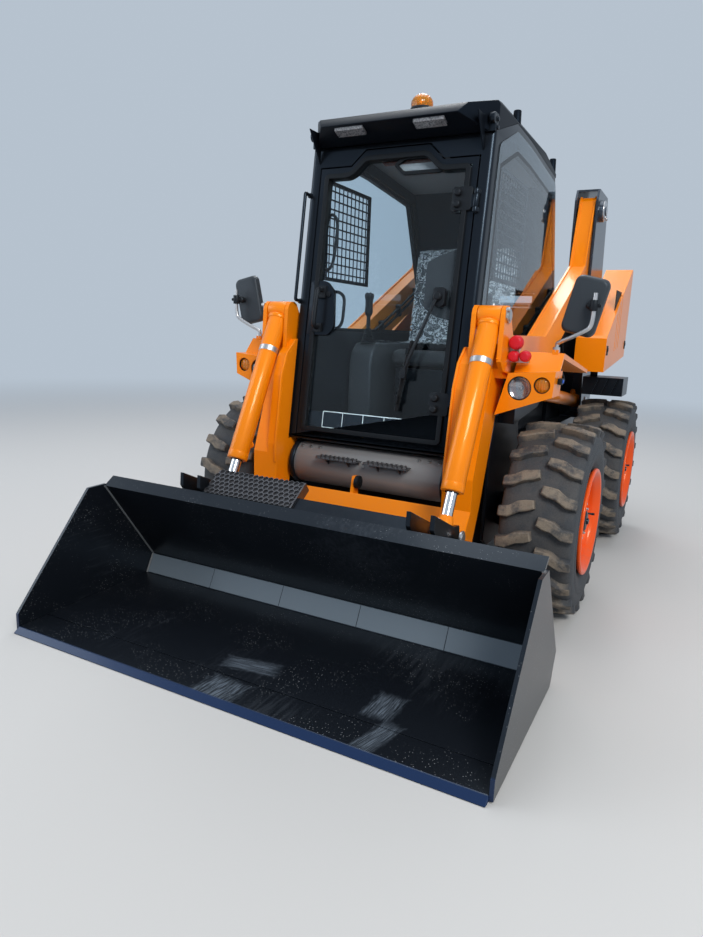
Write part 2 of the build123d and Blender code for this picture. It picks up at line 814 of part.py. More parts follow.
def hinge(plane, leaf_depth):
    """The fixed and the moving half of a hinge that turns about the plane's Z axis.

    Local X points to the fixed side and local Y into the machine.
    """
    barrel = Cylinder(hinge_barrel_diameter / 2, hinge_barrel_length)
    leaf = (hinge_barrel_length / -2, hinge_barrel_length / 2)
    moving = barrel + box((-hinge_leaf, -door_gap - 1), (0, hinge_stand), leaf)
    moving -= Cylinder(hinge_rod_diameter / 2 + running_gap, hinge_barrel_length + 2)
    knuckle = 18
    fixed = Cylinder(hinge_rod_diameter / 2, hinge_barrel_length + 2 * knuckle + 8)
    for side in (-1, 1):
        middle = side * (hinge_barrel_length / 2 + knuckle / 2 + 1)
        fixed += Pos(0, 0, middle) * Cylinder(hinge_barrel_diameter / 2, knuckle)
        fixed += box((0, 12), (0, leaf_depth), (middle - knuckle / 2, middle + knuckle / 2))
    return plane * fixed, plane * moving


# Door hinges on the left post, along the door's slope
door_hinge_x = door_half_width + door_gap + 4
door_up = (0, door_lean, 1)
door_hinges = []
for height in (881, 1644):
    place = (door_hinge_x, door_plane_y(height, -hinge_stand), height)
    plane = Plane(origin=place, x_dir=(1, 0, 0), z_dir=door_up)
    fixed, moving = hinge(plane, hinge_stand)
    cab += fixed
    door_hinges.append(moving)
save(cab, "cab_frame")

# Grab bar in front of the right post, parallel to the door
grab_x = cab_half_width - 6
grab_reach = 40
grab_facing = Vector(0, -1, door_lean).normalized()
grab_feet = [Vector(-grab_x, door_plane_y(height), height) for height in (1255, 1705)]
grab_rise = grab_feet[1] - grab_feet[0]
grab_start = grab_feet[0] + grab_facing * grab_reach - grab_rise.normalized() * 6
grab_bar = rod_along(14, Plane(origin=grab_start, z_dir=grab_rise).location, grab_rise.length + 12, 12)
for foot in grab_feet:
    grab_bar += rod_along(12, Plane(origin=foot, z_dir=grab_facing).location, grab_reach, 12)
save(grab_bar, "grab_bar")

# Side glass and rear glass, each in the middle of its wall
side_glass = prism_x(side_window, cab_half_width - 20, cab_half_width - 20 + glass_thickness)
save_both(side_glass, "side_glass")
guard_y = (front_axle_y - 62, front_axle_y + 378)
guard_z = (door_top_height - 452, door_top_height - 12)
guard_x = (cab_half_width - 14, cab_half_width - 2)
guard = box(guard_x, guard_y, guard_z)
guard -= box(guard_x, (guard_y[0] + 16, guard_y[1] - 16), (guard_z[0] + 16, guard_z[1] - 16))
for number in range(1, guard_bars + 1):
    bar_z = guard_z[0] + number * (guard_z[1] - guard_z[0]) / (guard_bars + 1)
    guard += box((guard_x[0] + 3, guard_x[1] - 3), guard_y, (bar_z - 3, bar_z + 3))
for number in range(1, guard_bars + 1):
    bar_y = guard_y[0] + number * (guard_y[1] - guard_y[0]) / (guard_bars + 1)
    guard += box((guard_x[0] + 4, guard_x[1] - 4), (bar_y - 2, bar_y + 2), guard_z)
save_both(guard, "window_guards")
save(box((-300, 300), (cab_back_y - 20, cab_back_y - 20 + glass_thickness), rear_pane), "rear_glass")

# Roof: a crowned cap with sloping sides, and a visor over the door that narrows to its front
roof_front = front_axle_y - 300
visor_low = (roof_front, roof_height - 55)
roof_outline = [
    visor_low,
    (roof_front + 40, roof_height - 15),
    (front_axle_y + 50, roof_height + roof_crown),
    (front_axle_y + 350, roof_height - 8 + roof_crown),
    (front_axle_y + 902, roof_height - 35),
    (front_axle_y + 902, roof_height - 55),
    (front_axle_y + 350, roof_height - 8),
    (front_axle_y + 120, roof_height),
    (door_plane_y(cab_head), cab_head),
]
roof = prism_x(roof_outline, -cab_half_width, cab_half_width)
roof_slope = [
    (cab_half_width, cab_head - 10),
    (cab_half_width, roof_height + 8),
    (roof_top_half, roof_height + roof_crown + 20),
]
roof_section = roof_slope + [(-x, z) for x, z in reversed(roof_slope)]
roof &= prism_y(roof_section, roof_front, front_axle_y + 902)
visor_corner = make_face(
    Polyline(
        (visor_half, roof_front - 5, roof_height - 100),
        (cab_half_width + 5, roof_front - 5, roof_height - 100),
        (cab_half_width + 5, roof_front + 168, roof_height - 100),
        close=True,
    )
)
visor_corner = extrude(visor_corner, 200, dir=(0, 0, 1))
roof -= visor_corner + other_side(visor_corner)
# Cheeks close the visor's sides, above the door
cheek_low = door_top_height + 18
cheek_top = roof_height - 45
cheek = [(roof_front + 26, cheek_top), (door_plane_y(cheek_low), cheek_top), (door_plane_y(cheek_low), cheek_low)]
cheek = prism_x(cheek, door_half_width + 8, door_half_width + 14) - prism_x(cab_side, 0, cab_half_width)
roof += cheek + other_side(cheek)
# Two stubs for an aerial and a vent on the left edge
for stub_y in (front_axle_y + 180, front_axle_y + 860):
    stub = rod_along(36, Pos(roof_top_half - 20, stub_y, roof_height - 70), 120 - 0.03 * (stub_y - front_axle_y))
    roof += stub - prism_x(cab_side, 0, cab_half_width)
save(roof, "cab_roof")

# Two lamp strips under the visor
visor_fall = (cab_head - visor_low[1]) / (door_plane_y(cab_head) - visor_low[0])
strip_y = (roof_front + 14, roof_front + 54)
strip_side = [
    (strip_y[0], visor_low[1] + visor_fall * 14),
    (strip_y[1], visor_low[1] + visor_fall * 54),
    (strip_y[1], visor_low[1] + visor_fall * 54 - 12),
    (strip_y[0], visor_low[1] + visor_fall * 14 - 12),
]
save_both(prism_x(strip_side, 110, 236), "work_lamps")

# Beacon on the roof
beacon_y = front_axle_y + 50
beacon_foot = Pos(0, beacon_y, roof_height + roof_crown)
beacon = rod_along(98, beacon_foot, 14, 32)
# Its dome: a closed section of radius and height, turned round Z
dome = [(1, 10), (45, 10), (48, 34), (40, 52), (25, 64), (8, 70), (1, 70)]
beacon += beacon_foot * Rot(0, -90, 0) * turned_section(dome, 24, to_flats=False)
save(beacon, "beacon")

# Door: a glazed frame with its glass, handle and two hinges
door_back = door_plate - running_gap
door = door_panel(0, 0, door_back)
door -= door_panel(-door_frame_width, -5, door_plate + 5)
for moving in door_hinges:
    door += moving
save(door, "door_frame")
save(door_panel(-door_frame_width, 8, 8 + glass_thickness), "door_glass")

# Seat: a cushion and a backrest, on a plain pedestal
seat_y = front_axle_y + 330
pedestal_top = 960
pedestal = box((-190, 190), (seat_y, seat_y + 400), (cab_floor + cab_floor_plate, pedestal_top))
save(pedestal, "seat_base")
seat = prism_x(
    [
        (seat_y - 40, pedestal_top + running_gap),
        (seat_y - 40, 1060),
        (seat_y + 330, 1040),
        (seat_y + 400, 1560),
        (seat_y + 500, 1560),
        (seat_y + 440, pedestal_top + running_gap),
    ],
    -225,
    225,
)
save(seat, "seat")

# Side consoles with a joystick on each
console_top = 1080
console = box(
    (240, cab_half_width - cab_wall), (seat_y - 180, seat_y + 420), (cab_floor + cab_floor_plate, console_top)
)
save_both(console, "consoles")
stick_foot = Pos(300, seat_y - 110, console_top)
stick = stick_foot * loft([RegularPolygon(34, 16), Pos(0, 0, 70) * RegularPolygon(20, 16)])
stick += rod_along(24, stick_foot * Pos(0, 0, 70), 60)
stick += rod_along(44, stick_foot * Pos(0, 0, 130), 110)
save_both(stick, "joysticks")

# Side boxes beside the engine, with three slots in the outer side
pod_inner_x = tower_outer_x
pod_front = rear_axle_y - 250
pod_back = rear_axle_y + 600
pod_side = [
    (pod_front, 962),
    (pod_front, 1145),
    (pod_front + 20, 1160),
    (pod_back - 30, 1580),
    (pod_back, 1570),
    (pod_back, 1035),
]
pod = prism_x(pod_side, pod_inner_x, pod_outer_x)
pod_room = [
    (pod_front + pod_wall, 962 + pod_wall + 2),
    (pod_front + pod_wall, 1145 - 3),
    (pod_front + 22, 1160 - 6),
    (pod_back - 30, 1580 - 8),
    (pod_back - pod_wall, 1570 - 6),
    (pod_back - pod_wall, 1035 + pod_wall),
]
pod -= prism_x(pod_room, pod_inner_x + pod_wall, pod_outer_x - pod_wall)
for number, (low, high) in enumerate(((1075, 1290), (1085, 1345), (1095, 1400))):
    slot_y = pod_front + 330 + number * 70
    pod -= box((pod_outer_x - 20, pod_outer_x + 5), (slot_y, slot_y + pod_slot_width), (low, high))
save_both(pod, "side_boxes")

# Step boxes over the rear tyres, hung from the side boxes, with slanted ribs in front
step_low = tyre_diameter + 34
step_box = box((pod_outer_x - 118, pod_outer_x + 100), (rear_axle_y - 165, rear_axle_y + 60), (step_low, step_low + 100))
for place in (pod_outer_x - 63, pod_outer_x - 13, pod_outer_x + 37):
    rib = [(place, step_low + 8), (place + 8, step_low + 8), (place + 38, step_low + 92), (place + 30, step_low + 92)]
    step_box -= prism_y(rib, rear_axle_y - 170, rear_axle_y - 160)
hanger = box((pod_outer_x - 96, pod_outer_x - 56), (rear_axle_y - 60, rear_axle_y - 48), (step_low + 95, step_low + 172))
step_box += hanger - prism_x(pod_side, pod_inner_x, pod_outer_x)
save_both(step_box, "step_boxes")

# Round tail lamps on the rear of the side boxes
tail_lamp = rod_along(72, Pos(pod_outer_x - 63, pod_back, 1240) * Rot(-90, 0, 0), 16, 32)
save_both(tail_lamp, "tail_lamps")

# Engine block, its hood and the rear door
engine = box(
    (-engine_width / 2, engine_width / 2),
    (engine_y, engine_y + engine_length),
    (tub_bottom + tub_wall, tub_bottom + tub_wall + engine_height),
)
save(engine, "engine_block")
hood_front = cab_back_y + 30
hood_back = rear_axle_y + 640
hood_room = [
    (hood_front + sheet, tub_top - 5),
    (hood_front + sheet, hood_height - sheet),
    (hood_back + 5, hood_height + 60 - sheet),
    (hood_back + 5, tub_top - 5),
]
hood = prism_x(
    [(hood_front, tub_top), (hood_front, hood_height), (hood_back, hood_height + 60), (hood_back, tub_top)],
    -hood_half_width,
    hood_half_width,
)
hood -= prism_x(hood_room, -hood_half_width + sheet, hood_half_width - sheet)
tail_half = hood_half_width - 4
tail_y = hood_back + running_gap
tail = box((-tail_half, tail_half), (tail_y, tail_y + tail_plate), (tub_top + 6, hood_height + 50))
for row in range(9):
    z = 820 + row * 48
    tail -= box((-260, 260), (hood_back - 5, hood_back + 50), (z, z + 22))
for height in (tub_top + 130, hood_height - 90):
    place = (-hood_half_width, tail_y + tail_plate + hinge_stand, height)
    plane = Plane(origin=place, x_dir=(-1, 0, 0), z_dir=(0, 0, 1))
    fixed, moving = hinge(plane, hinge_stand + tail_plate + 40)
    hood += fixed
    tail += moving
save(hood, "engine_hood")
save(tail, "rear_door")
bumper = box((-tub_half_width, tub_half_width), (tub_back, rear_axle_y + rear_overhang), (tub_bottom + 120, tub_top - 10))
save(bumper, "rear_bumper")

# Front lamp boxes above the tyres, each with a sloping fender behind it
lamp_front = front_axle_y - 280
lamp_depth = 130
headlamp_x = tub_half_width + 106
headlamp_height = tyre_diameter + 150
indicator_x = tub_half_width + 190
indicator_height = tyre_diameter + 166
lamp_inner_x = tub_half_width + 60
lamp_outer_x = tub_half_width + 237
fender_top = tyre_diameter + 204
lamp_face = [
    (lamp_inner_x, fender_top + 1),
    (lamp_outer_x, fender_top + 16),
    (lamp_outer_x - 5, fender_top - 81),
    (tub_half_width + 18, fender_top - 164),
]
lamp_box = prism_y(lamp_face, lamp_front, lamp_front + lamp_depth)
fender_outline = [
    (lamp_front + 60, fender_top),
    (front_axle_y - 148, fender_top + 82),
    (front_axle_y + 425, fender_top),
    (front_axle_y + 425, fender_top - 15),
    (front_axle_y - 148, fender_top + 60),
    (lamp_front + 60, fender_top - 15),
]
lamp_box += prism_x(fender_outline, lamp_inner_x + 5, lamp_outer_x)
mirror_foot = (tub_half_width + 202, front_axle_y - 140)
foot_top = fender_top + 94
foot_half = 14
lamp_box += box(
    (mirror_foot[0] - 12, mirror_foot[0] + 12),
    (mirror_foot[1] - foot_half, mirror_foot[1] + foot_half),
    (foot_top - 34, foot_top),
)
# A dark wall beside each fender, on a bracket from the tub
wall_front = lamp_front + lamp_depth
wall_side = [
    (wall_front, tub_ear_top - 30),
    (wall_front, fender_top + 78),
    (front_axle_y - 148, fender_top + 82),
    (front_axle_y + 425, fender_top),
    (front_axle_y + 425, fender_top - 70),
    (front_axle_y + 250, tub_ear_top + 10),
]
fender_wall = prism_x(wall_side, lamp_inner_x - 3, lamp_inner_x + 5)
fender_wall += box((tub_half_width, lamp_inner_x), (wall_front, wall_front + 30), (tub_ear_top - 30, tub_ear_top + 40))
save_both(fender_wall, "fender_walls")
# Round headlamp and round indicator, each in a recess of the box's face
headlamp = Pos(headlamp_x, lamp_front, headlamp_height) * Rot(-90, 0, 0)
lamp_box -= rod_along(headlamp_diameter, headlamp, lamp_recess, 32)
lens = rod_along(headlamp_diameter, headlamp * Pos(0, 0, lamp_rim), lamp_recess - lamp_rim, 32)
indicator = Pos(indicator_x, lamp_front, indicator_height) * Rot(-90, 0, 0)
lamp_box -= rod_along(indicator_diameter, indicator, lamp_recess, 32)
save_both(lamp_box, "lamp_boxes")
save_both(lens, "headlamps")
blinker = rod_along(indicator_diameter, indicator * Pos(0, 0, lamp_rim), lamp_recess - lamp_rim, 32)
save_both(blinker, "indicators")


# Mirrors on bent round stalks
stalk_diameter = 16
stalk_route = Polyline(
    (*mirror_foot, foot_top),
    (*mirror_foot, foot_top + 14),
    (mirror_foot[0] + 23, front_axle_y - 150, foot_top + 28),
    (mirror_foot[0] + 113, front_axle_y - 160, foot_top + 88),
    (mirror_foot[0] + 127, front_axle_y - 160, foot_top + 216),
)
stalk_start = Plane(origin=(*mirror_foot, foot_top), z_dir=(0, 0, 1))
mirror_arm = sweep(stalk_start * RegularPolygon(stalk_diameter / 2, 12), stalk_route, transition=Transition.RIGHT)
clamp_height = foot_top + 168
clamp_x = mirror_foot[0] + 126
clamp_way = Plane(origin=(clamp_x, front_axle_y - 160, clamp_height), z_dir=(-23, 50, 0))
mirror_arm += clamp_way * extrude(RegularPolygon(11, 12), 55)
head_place = Pos(clamp_x - 41, front_axle_y - 84, clamp_height) * Rot(0, mirror_lean, 0) * Rot(90, 0, 0)
mirror_head = head_place * extrude(RectangleRounded(mirror_width, mirror_height, 26), mirror_depth)
save_both(mirror_arm + mirror_head, "mirrors")
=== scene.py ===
# %% [markdown]
# A skid-steer loader, dressed in Blender
#
# The CAD model gives every plate, tube and pin its place. This lesson keeps those places and gives the
# machine its looks: paint that catches the light, tyres with real lugs, glass, seals, lamps and a seat.
# The first cell loads the imported model and bakes each node's place into its mesh.

# %% Load the imported model
import bpy
import bmesh
import math
from mathutils import Matrix, Vector, noise


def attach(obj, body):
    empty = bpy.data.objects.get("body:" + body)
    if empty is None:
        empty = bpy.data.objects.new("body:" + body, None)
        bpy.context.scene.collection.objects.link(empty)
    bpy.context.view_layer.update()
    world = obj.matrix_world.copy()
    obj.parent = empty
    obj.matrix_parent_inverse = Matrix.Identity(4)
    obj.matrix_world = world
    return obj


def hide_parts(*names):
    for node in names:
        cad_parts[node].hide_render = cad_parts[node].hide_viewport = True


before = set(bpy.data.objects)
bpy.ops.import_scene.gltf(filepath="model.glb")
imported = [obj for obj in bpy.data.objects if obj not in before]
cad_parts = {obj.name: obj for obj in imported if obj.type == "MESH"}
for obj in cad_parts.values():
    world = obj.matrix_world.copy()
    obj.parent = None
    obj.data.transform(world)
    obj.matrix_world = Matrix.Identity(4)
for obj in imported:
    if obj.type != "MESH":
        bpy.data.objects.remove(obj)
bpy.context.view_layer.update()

# %% [markdown]
# The camera stands at the front left of the machine, at chest height, and looks slightly down.
# Its place and its three turns were worked out from straight edges whose sizes are known, so the
# render can be laid over the picture. The lens is a phone's wide lens, which is why the bucket looks so big.

# %% Camera
CAMERA_AT = Vector((1.2461, -3.2075, 1.1419))
YAW, PITCH, ROLL = (math.radians(a) for a in (27.76, -11.738, -2.216))
FOCAL_PIXELS, PICTURE_HEIGHT, SENSOR = 669.53, 937, 36


def camera_turn(yaw, pitch, roll):
    """The camera's rotation from where it looks: yaw left, pitch up, roll clockwise."""
    ahead = Vector((-math.sin(yaw) * math.cos(pitch), math.cos(yaw) * math.cos(pitch), math.sin(pitch)))
    level = Vector((math.cos(yaw), math.sin(yaw), 0))
    down = ahead.cross(level)
    right = math.cos(roll) * level + math.sin(roll) * down
    down = math.cos(roll) * down - math.sin(roll) * level
    return Matrix((right, -down, -ahead)).transposed()


camera_data = bpy.data.cameras.new("camera")
camera_data.sensor_width = SENSOR
camera_data.lens = SENSOR * FOCAL_PIXELS / PICTURE_HEIGHT
camera = bpy.data.objects.new("camera", camera_data)
camera.matrix_world = Matrix.Translation(CAMERA_AT) @ camera_turn(YAW, PITCH, ROLL).to_4x4()
bpy.context.scene.collection.objects.link(camera)
bpy.context.scene.camera = camera
print("lens:", round(camera_data.lens, 2), "mm")

# %% [markdown]
# Materials and the world are small trees of nodes. These helpers build them: a node takes its settings and
# sockets by name, and a socket given as a value is linked. The others are the nodes that come back most.

# %% Helpers for node trees
def feed(tree, socket, value):
    """Link a socket to another one, or set its value. A colour gets its alpha here."""
    if isinstance(value, bpy.types.NodeSocket):
        tree.links.new(value, socket)
    else:
        socket.default_value = (*value, 1) if socket.type == "RGBA" else value


def add_node(tree, kind, **values):
    """A shader node with its settings and sockets by name."""
    node = tree.nodes.new("ShaderNode" + kind)
    for name, value in values.items():
        if hasattr(node, name):
            setattr(node, name, value)
        else:
            feed(tree, node.inputs[name.replace("_", " ")], value)
    return node


def spot(tree):
    """The place on the object, in metres."""
    return add_node(tree, "TexCoord").outputs["Object"]


def noisy(tree, place, **values):
    """A noise texture's value at a place."""
    return add_node(tree, "TexNoise", Vector=place, **values).outputs["Fac"]


def calc(tree, operation, *values, clamp=False):
    """A Math node on sockets or numbers."""
    node = add_node(tree, "Math", operation=operation, use_clamp=clamp)
    for socket, value in zip(node.inputs, values):
        feed(tree, socket, value)
    return node.outputs[0]


def ranged(tree, value, low, high, target=None, start=0.0, end=1.0, curve="LINEAR"):
    """Map a value that runs from start to end onto low to high."""
    node = add_node(
        tree, "MapRange", interpolation_type=curve, Value=value, From_Min=start, From_Max=end, To_Min=low,
        To_Max=high,
    )
    if target:
        tree.links.new(node.outputs["Result"], target)
    return node.outputs["Result"]


def blend(tree, mask, low, high, target=None):
    """Mix two colours, each a value or a socket, by a mask."""
    mix = add_node(tree, "Mix", data_type="RGBA")
    for number, value in ((0, mask), (6, low), (7, high)):
        feed(tree, mix.inputs[number], value)
    if target:
        tree.links.new(mix.outputs[2], target)
    return mix.outputs[2]


def either_shader(tree, mask, first, second, output):
    """Mix two shaders by a mask, and show the result."""
    mix = add_node(tree, "MixShader")
    for socket, value in zip(mix.inputs, (mask, first.outputs[0], second.outputs[0])):
        tree.links.new(value, socket)
    tree.links.new(mix.outputs[0], output.inputs["Surface"])


def bumped(tree, height, strength, distance, target):
    """Turn a height into a normal."""
    tree.links.new(
        add_node(tree, "Bump", Height=height, Strength=strength, Distance=distance).outputs["Normal"], target
    )


def node_tree(owner, kind):
    """An empty node tree for a material or a world, with its output node."""
    owner.use_nodes = True
    owner.node_tree.nodes.clear()
    return owner.node_tree, add_node(owner.node_tree, kind)


print("node helpers ready")

# %% [markdown]
# A plain pale floor takes the shadow. It isn't part of the machine.
# Four large area lamps make soft studio light: a key from the front left, a fill from the right, one overhead
# for the roof and the bucket's floor, and one behind. The world adds an even pale blue. Far out, the floor
# fades to the colour of the world behind it, as a studio's paper backdrop does, so there is no horizon.

# %% Floor, lights and world
scene = bpy.context.scene
scene.view_settings.view_transform = "Standard"
BACKDROP = (0.47, 0.54, 0.62)
FLOOR_HALF = 30
FADE_START, FADE_END = 3.5, 12.0


def seen_directly(tree):
    """One for rays from the camera, from a mirror or through glass, else nothing."""
    rays = add_node(tree, "LightPath").outputs
    seen = calc(tree, "MAXIMUM", rays["Is Camera Ray"], rays["Is Glossy Ray"])
    return calc(tree, "MAXIMUM", seen, rays["Is Transmission Ray"])


scene.world = bpy.data.worlds.new("studio")
tree, output = node_tree(scene.world, "OutputWorld")
daylight = add_node(tree, "Background", Color=(0.76, 0.86, 1.0), Strength=0.46)
backdrop = add_node(tree, "Background", Color=BACKDROP, Strength=1.0)
either_shader(tree, seen_directly(tree), daylight, backdrop, output)

floor_mesh = bmesh.new()
bmesh.ops.create_grid(floor_mesh, x_segments=1, y_segments=1, size=FLOOR_HALF)
floor_data = bpy.data.meshes.new("floor")
floor_mesh.to_mesh(floor_data)
floor_mesh.free()
floor = bpy.data.objects.new("floor", floor_data)
scene.collection.objects.link(floor)
floor_finish = bpy.data.materials.new("floor_pale")
floor_data.materials.append(floor_finish)
tree, output = node_tree(floor_finish, "OutputMaterial")
surface = add_node(tree, "BsdfPrincipled", Base_Color=(0.53, 0.53, 0.525), Roughness=0.85)
glow = add_node(tree, "Emission", Color=BACKDROP, Strength=1.0)
out_from = add_node(tree, "VectorMath", operation="LENGTH")
tree.links.new(spot(tree), out_from.inputs[0])
far = ranged(tree, out_from.outputs["Value"], 0.0, 1.0, start=FADE_START, end=FADE_END, curve="SMOOTHSTEP")
either_shader(tree, calc(tree, "MULTIPLY", far, seen_directly(tree)), surface, glow, output)

# Name, place, size in metres, power in watts, colour
LAMPS = (
    ("key", (4.6, -5.2, 5.4), 2.6, 440, (1, 0.97, 0.92)),
    ("fill", (-6.0, -3.4, 3.2), 4.0, 120, (0.92, 0.96, 1)),
    ("top", (-0.5, 1.0, 6.5), 4.5, 150, (1, 1, 1)),
    ("back", (-2.0, 5.4, 8.4), 3.0, 230, (1, 1, 1)),
)
MIDDLE = Vector((0, 0, 0.9))
for name, place, size, power, colour in LAMPS:
    data = bpy.data.lights.new(name, "AREA")
    data.size = size
    data.energy = power
    data.color = colour
    lamp = bpy.data.objects.new(name, data)
    aim = (MIDDLE - Vector(place)).to_track_quat("-Z", "Y")
    lamp.matrix_world = Matrix.Translation(place) @ aim.to_matrix().to_4x4()
    scene.collection.objects.link(lamp)

# %% [markdown]
# Four effects come back in many finishes, so each is a shader node group with named sockets, built once.
# Paint has orange peel, a fine ripple left by the spray gun. Moulded plastic has a leathery grain.
# A working bucket has scratches that run the way the earth slides. Dust settles where a surface faces up,
# and low on the machine. Each group puts out only masks and normals; the shader stays in the material.

# %% Effects as node groups
def effect_group(name, inputs, **outputs):
    """A shader node group with inputs {name: default} and outputs by type. Returns it and its two ends."""
    group = bpy.data.node_groups.new(name, "ShaderNodeTree")
    for label, default in inputs.items():
        socket = group.interface.new_socket(name=label, in_out="INPUT", socket_type="NodeSocketFloat")
        socket.default_value = default
    for label, kind in outputs.items():
        group.interface.new_socket(name=label, in_out="OUTPUT", socket_type="NodeSocket" + kind)
    return group, group.nodes.new("NodeGroupInput").outputs, group.nodes.new("NodeGroupOutput").inputs


PEEL, entry, result = effect_group(
    "orange_peel", {"Scale": 260.0, "Strength": 0.06}, Normal="Vector", Tone="Float"
)
ripple = noisy(PEEL, spot(PEEL), Scale=entry["Scale"], Detail=2.0, Roughness=0.5)
bumped(PEEL, ripple, entry["Strength"], 0.0006, result["Normal"])
PEEL.links.new(noisy(PEEL, spot(PEEL), Scale=2.3, Detail=3.0, Roughness=0.55), result["Tone"])

GRAIN, entry, result = effect_group(
    "moulded_grain", {"Scale": 900.0, "Strength": 0.35}, Normal="Vector", Cells="Float"
)
cells = add_node(GRAIN, "TexVoronoi", feature="SMOOTH_F1", Vector=spot(GRAIN), Scale=entry["Scale"])
cells = cells.outputs["Distance"]
bumped(GRAIN, cells, entry["Strength"], 0.0005, result["Normal"])
GRAIN.links.new(cells, result["Cells"])

SCRATCHES, entry, result = effect_group("scratches", {"Amount": 0.5, "Scale": 9.0}, Mask="Float")
stretch = add_node(
    SCRATCHES, "Mapping", Vector=spot(SCRATCHES), Rotation=(0, 0, 0.22), Scale=(7.0, 0.55, 7.0)
).outputs["Vector"]
lines = noisy(SCRATCHES, stretch, Scale=entry["Scale"], Detail=6.0, Roughness=0.62, Distortion=0.15)
where = noisy(SCRATCHES, spot(SCRATCHES), Scale=2.2, Detail=2.0)
kept = ranged(SCRATCHES, calc(SCRATCHES, "MULTIPLY", lines, where), 0.0, 1.0, start=0.3, end=0.42)
SCRATCHES.links.new(calc(SCRATCHES, "MULTIPLY", kept, entry["Amount"]), result["Mask"])

DUST, entry, result = effect_group(
    "settled_dust", {"Amount": 0.5, "Top": 0.9, "Speck Scale": 40.0}, Mask="Float"
)
height = add_node(DUST, "SeparateXYZ", Vector=spot(DUST)).outputs["Z"]
facing = add_node(DUST, "SeparateXYZ", Vector=add_node(DUST, "NewGeometry").outputs["Normal"]).outputs["Z"]
low = ranged(DUST, height, 1.0, 0.0, end=entry["Top"])
upward = ranged(DUST, facing, 0.25, 1.0, start=-0.2)
specks = noisy(DUST, spot(DUST), Scale=entry["Speck Scale"], Detail=8.0, Roughness=0.7)
grains = ranged(DUST, specks, 0.0, 1.0, start=0.42, end=0.68)
lying = calc(DUST, "MULTIPLY", calc(DUST, "MULTIPLY", low, upward), grains)
DUST.links.new(calc(DUST, "MULTIPLY", lying, entry["Amount"], clamp=True), result["Mask"])
print("effects:", [g.name for g in bpy.data.node_groups])

# %% [markdown]
# A finish starts from one Principled shader. What is the same all over is set on its sockets; what changes
# over the surface comes from the groups. The paint is new, so it has no rust; its depth comes from a clear
# coat. Plastic and metal have a helper each, and so has glass.

# %% Helpers for finishes
def finish(name, colour, roughness, **sockets):
    """A material with one Principled shader. Returns it with its tree and the shader's inputs."""
    material = bpy.data.materials.new(name)
    tree, output = node_tree(material, "OutputMaterial")
    shader = add_node(tree, "BsdfPrincipled", Base_Color=colour, Roughness=roughness, **sockets)
    tree.links.new(shader.outputs[0], output.inputs["Surface"])
    return material, tree, shader.inputs


def place_group(tree, group, **values):
    """A group node in a tree, with its inputs set by name. Returns its outputs."""
    node = tree.nodes.new("ShaderNodeGroup")
    node.node_tree = group
    for name, value in values.items():
        feed(tree, node.inputs[name], value)
    return node.outputs


def paint(name, colour, roughness, dust=0.12, peel=0.05, coat=0.3, sheen=(1, 1, 1), shine=0.5):
    """Sprayed gloss paint: slight changes of tone, orange peel, a clear coat and a little dust."""
    material, tree, shader = finish(
        name, colour, roughness, Coat_Weight=coat, Coat_Roughness=0.08, Specular_IOR_Level=shine,
        Specular_Tint=sheen,
    )
    skin = place_group(tree, PEEL, Strength=peel)
    settled = place_group(tree, DUST, Amount=dust, Top=0.8)["Mask"]
    toned = blend(tree, skin["Tone"], [c * 0.86 for c in colour], colour)
    blend(tree, settled, toned, (0.22, 0.19, 0.15), shader["Base Color"])
    ranged(tree, settled, roughness, 0.8, shader["Roughness"])
    tree.links.new(skin["Normal"], shader["Normal"])
    return material


def plastic(name, colour, roughness=0.5, scale=900.0, strength=0.3):
    """Moulded plastic with a leathery grain."""
    material, tree, shader = finish(
        name, colour, roughness, Specular_IOR_Level=0.25, Specular_Tint=(0.72, 0.86, 1)
    )
    grain = place_group(tree, GRAIN, Scale=scale, Strength=strength)
    blend(tree, grain["Cells"], colour, [min(1, c * 1.4 + 0.001) for c in colour], shader["Base Color"])
    tree.links.new(grain["Normal"], shader["Normal"])
    return material


def metal(name, colour, roughness, dust=0.0):
    """Bare or plated metal, with roughness that changes a little."""
    material, tree, shader = finish(name, colour, roughness, Metallic=1.0)
    skin = place_group(tree, PEEL, Scale=600.0, Strength=0.03)
    ranged(tree, skin["Tone"], roughness * 0.8, roughness * 1.3, shader["Roughness"])
    if dust:
        settled = place_group(tree, DUST, Amount=dust, Top=0.7)["Mask"]
        blend(tree, settled, colour, (0.2, 0.17, 0.14), shader["Base Color"])
    return material


def clear(name, colour, roughness, ior):
    """Glass that lets the lamps light what lies behind it."""
    material, tree, shader = finish(name, colour, roughness, Transmission_Weight=1.0, IOR=ior)
    shadow = add_node(tree, "LightPath").outputs["Is Shadow Ray"]
    through = add_node(tree, "BsdfTransparent", Color=colour)
    either_shader(tree, shadow, tree.nodes["Principled BSDF"], through, tree.nodes["Material Output"])
    return material


print("finish helpers ready")

# %% [markdown]
# The machine's finishes: saturated orange on arms, cylinders and boxes, a redder orange on the rims, satin
# black on the cab and towers. Glass lets nearly all light through, with a faint blue tint. A renderer lets no
# lamp shine through such a shader, so the cab would be dark inside. A second, clear shader therefore
# stands in for the rays that look for a lamp.

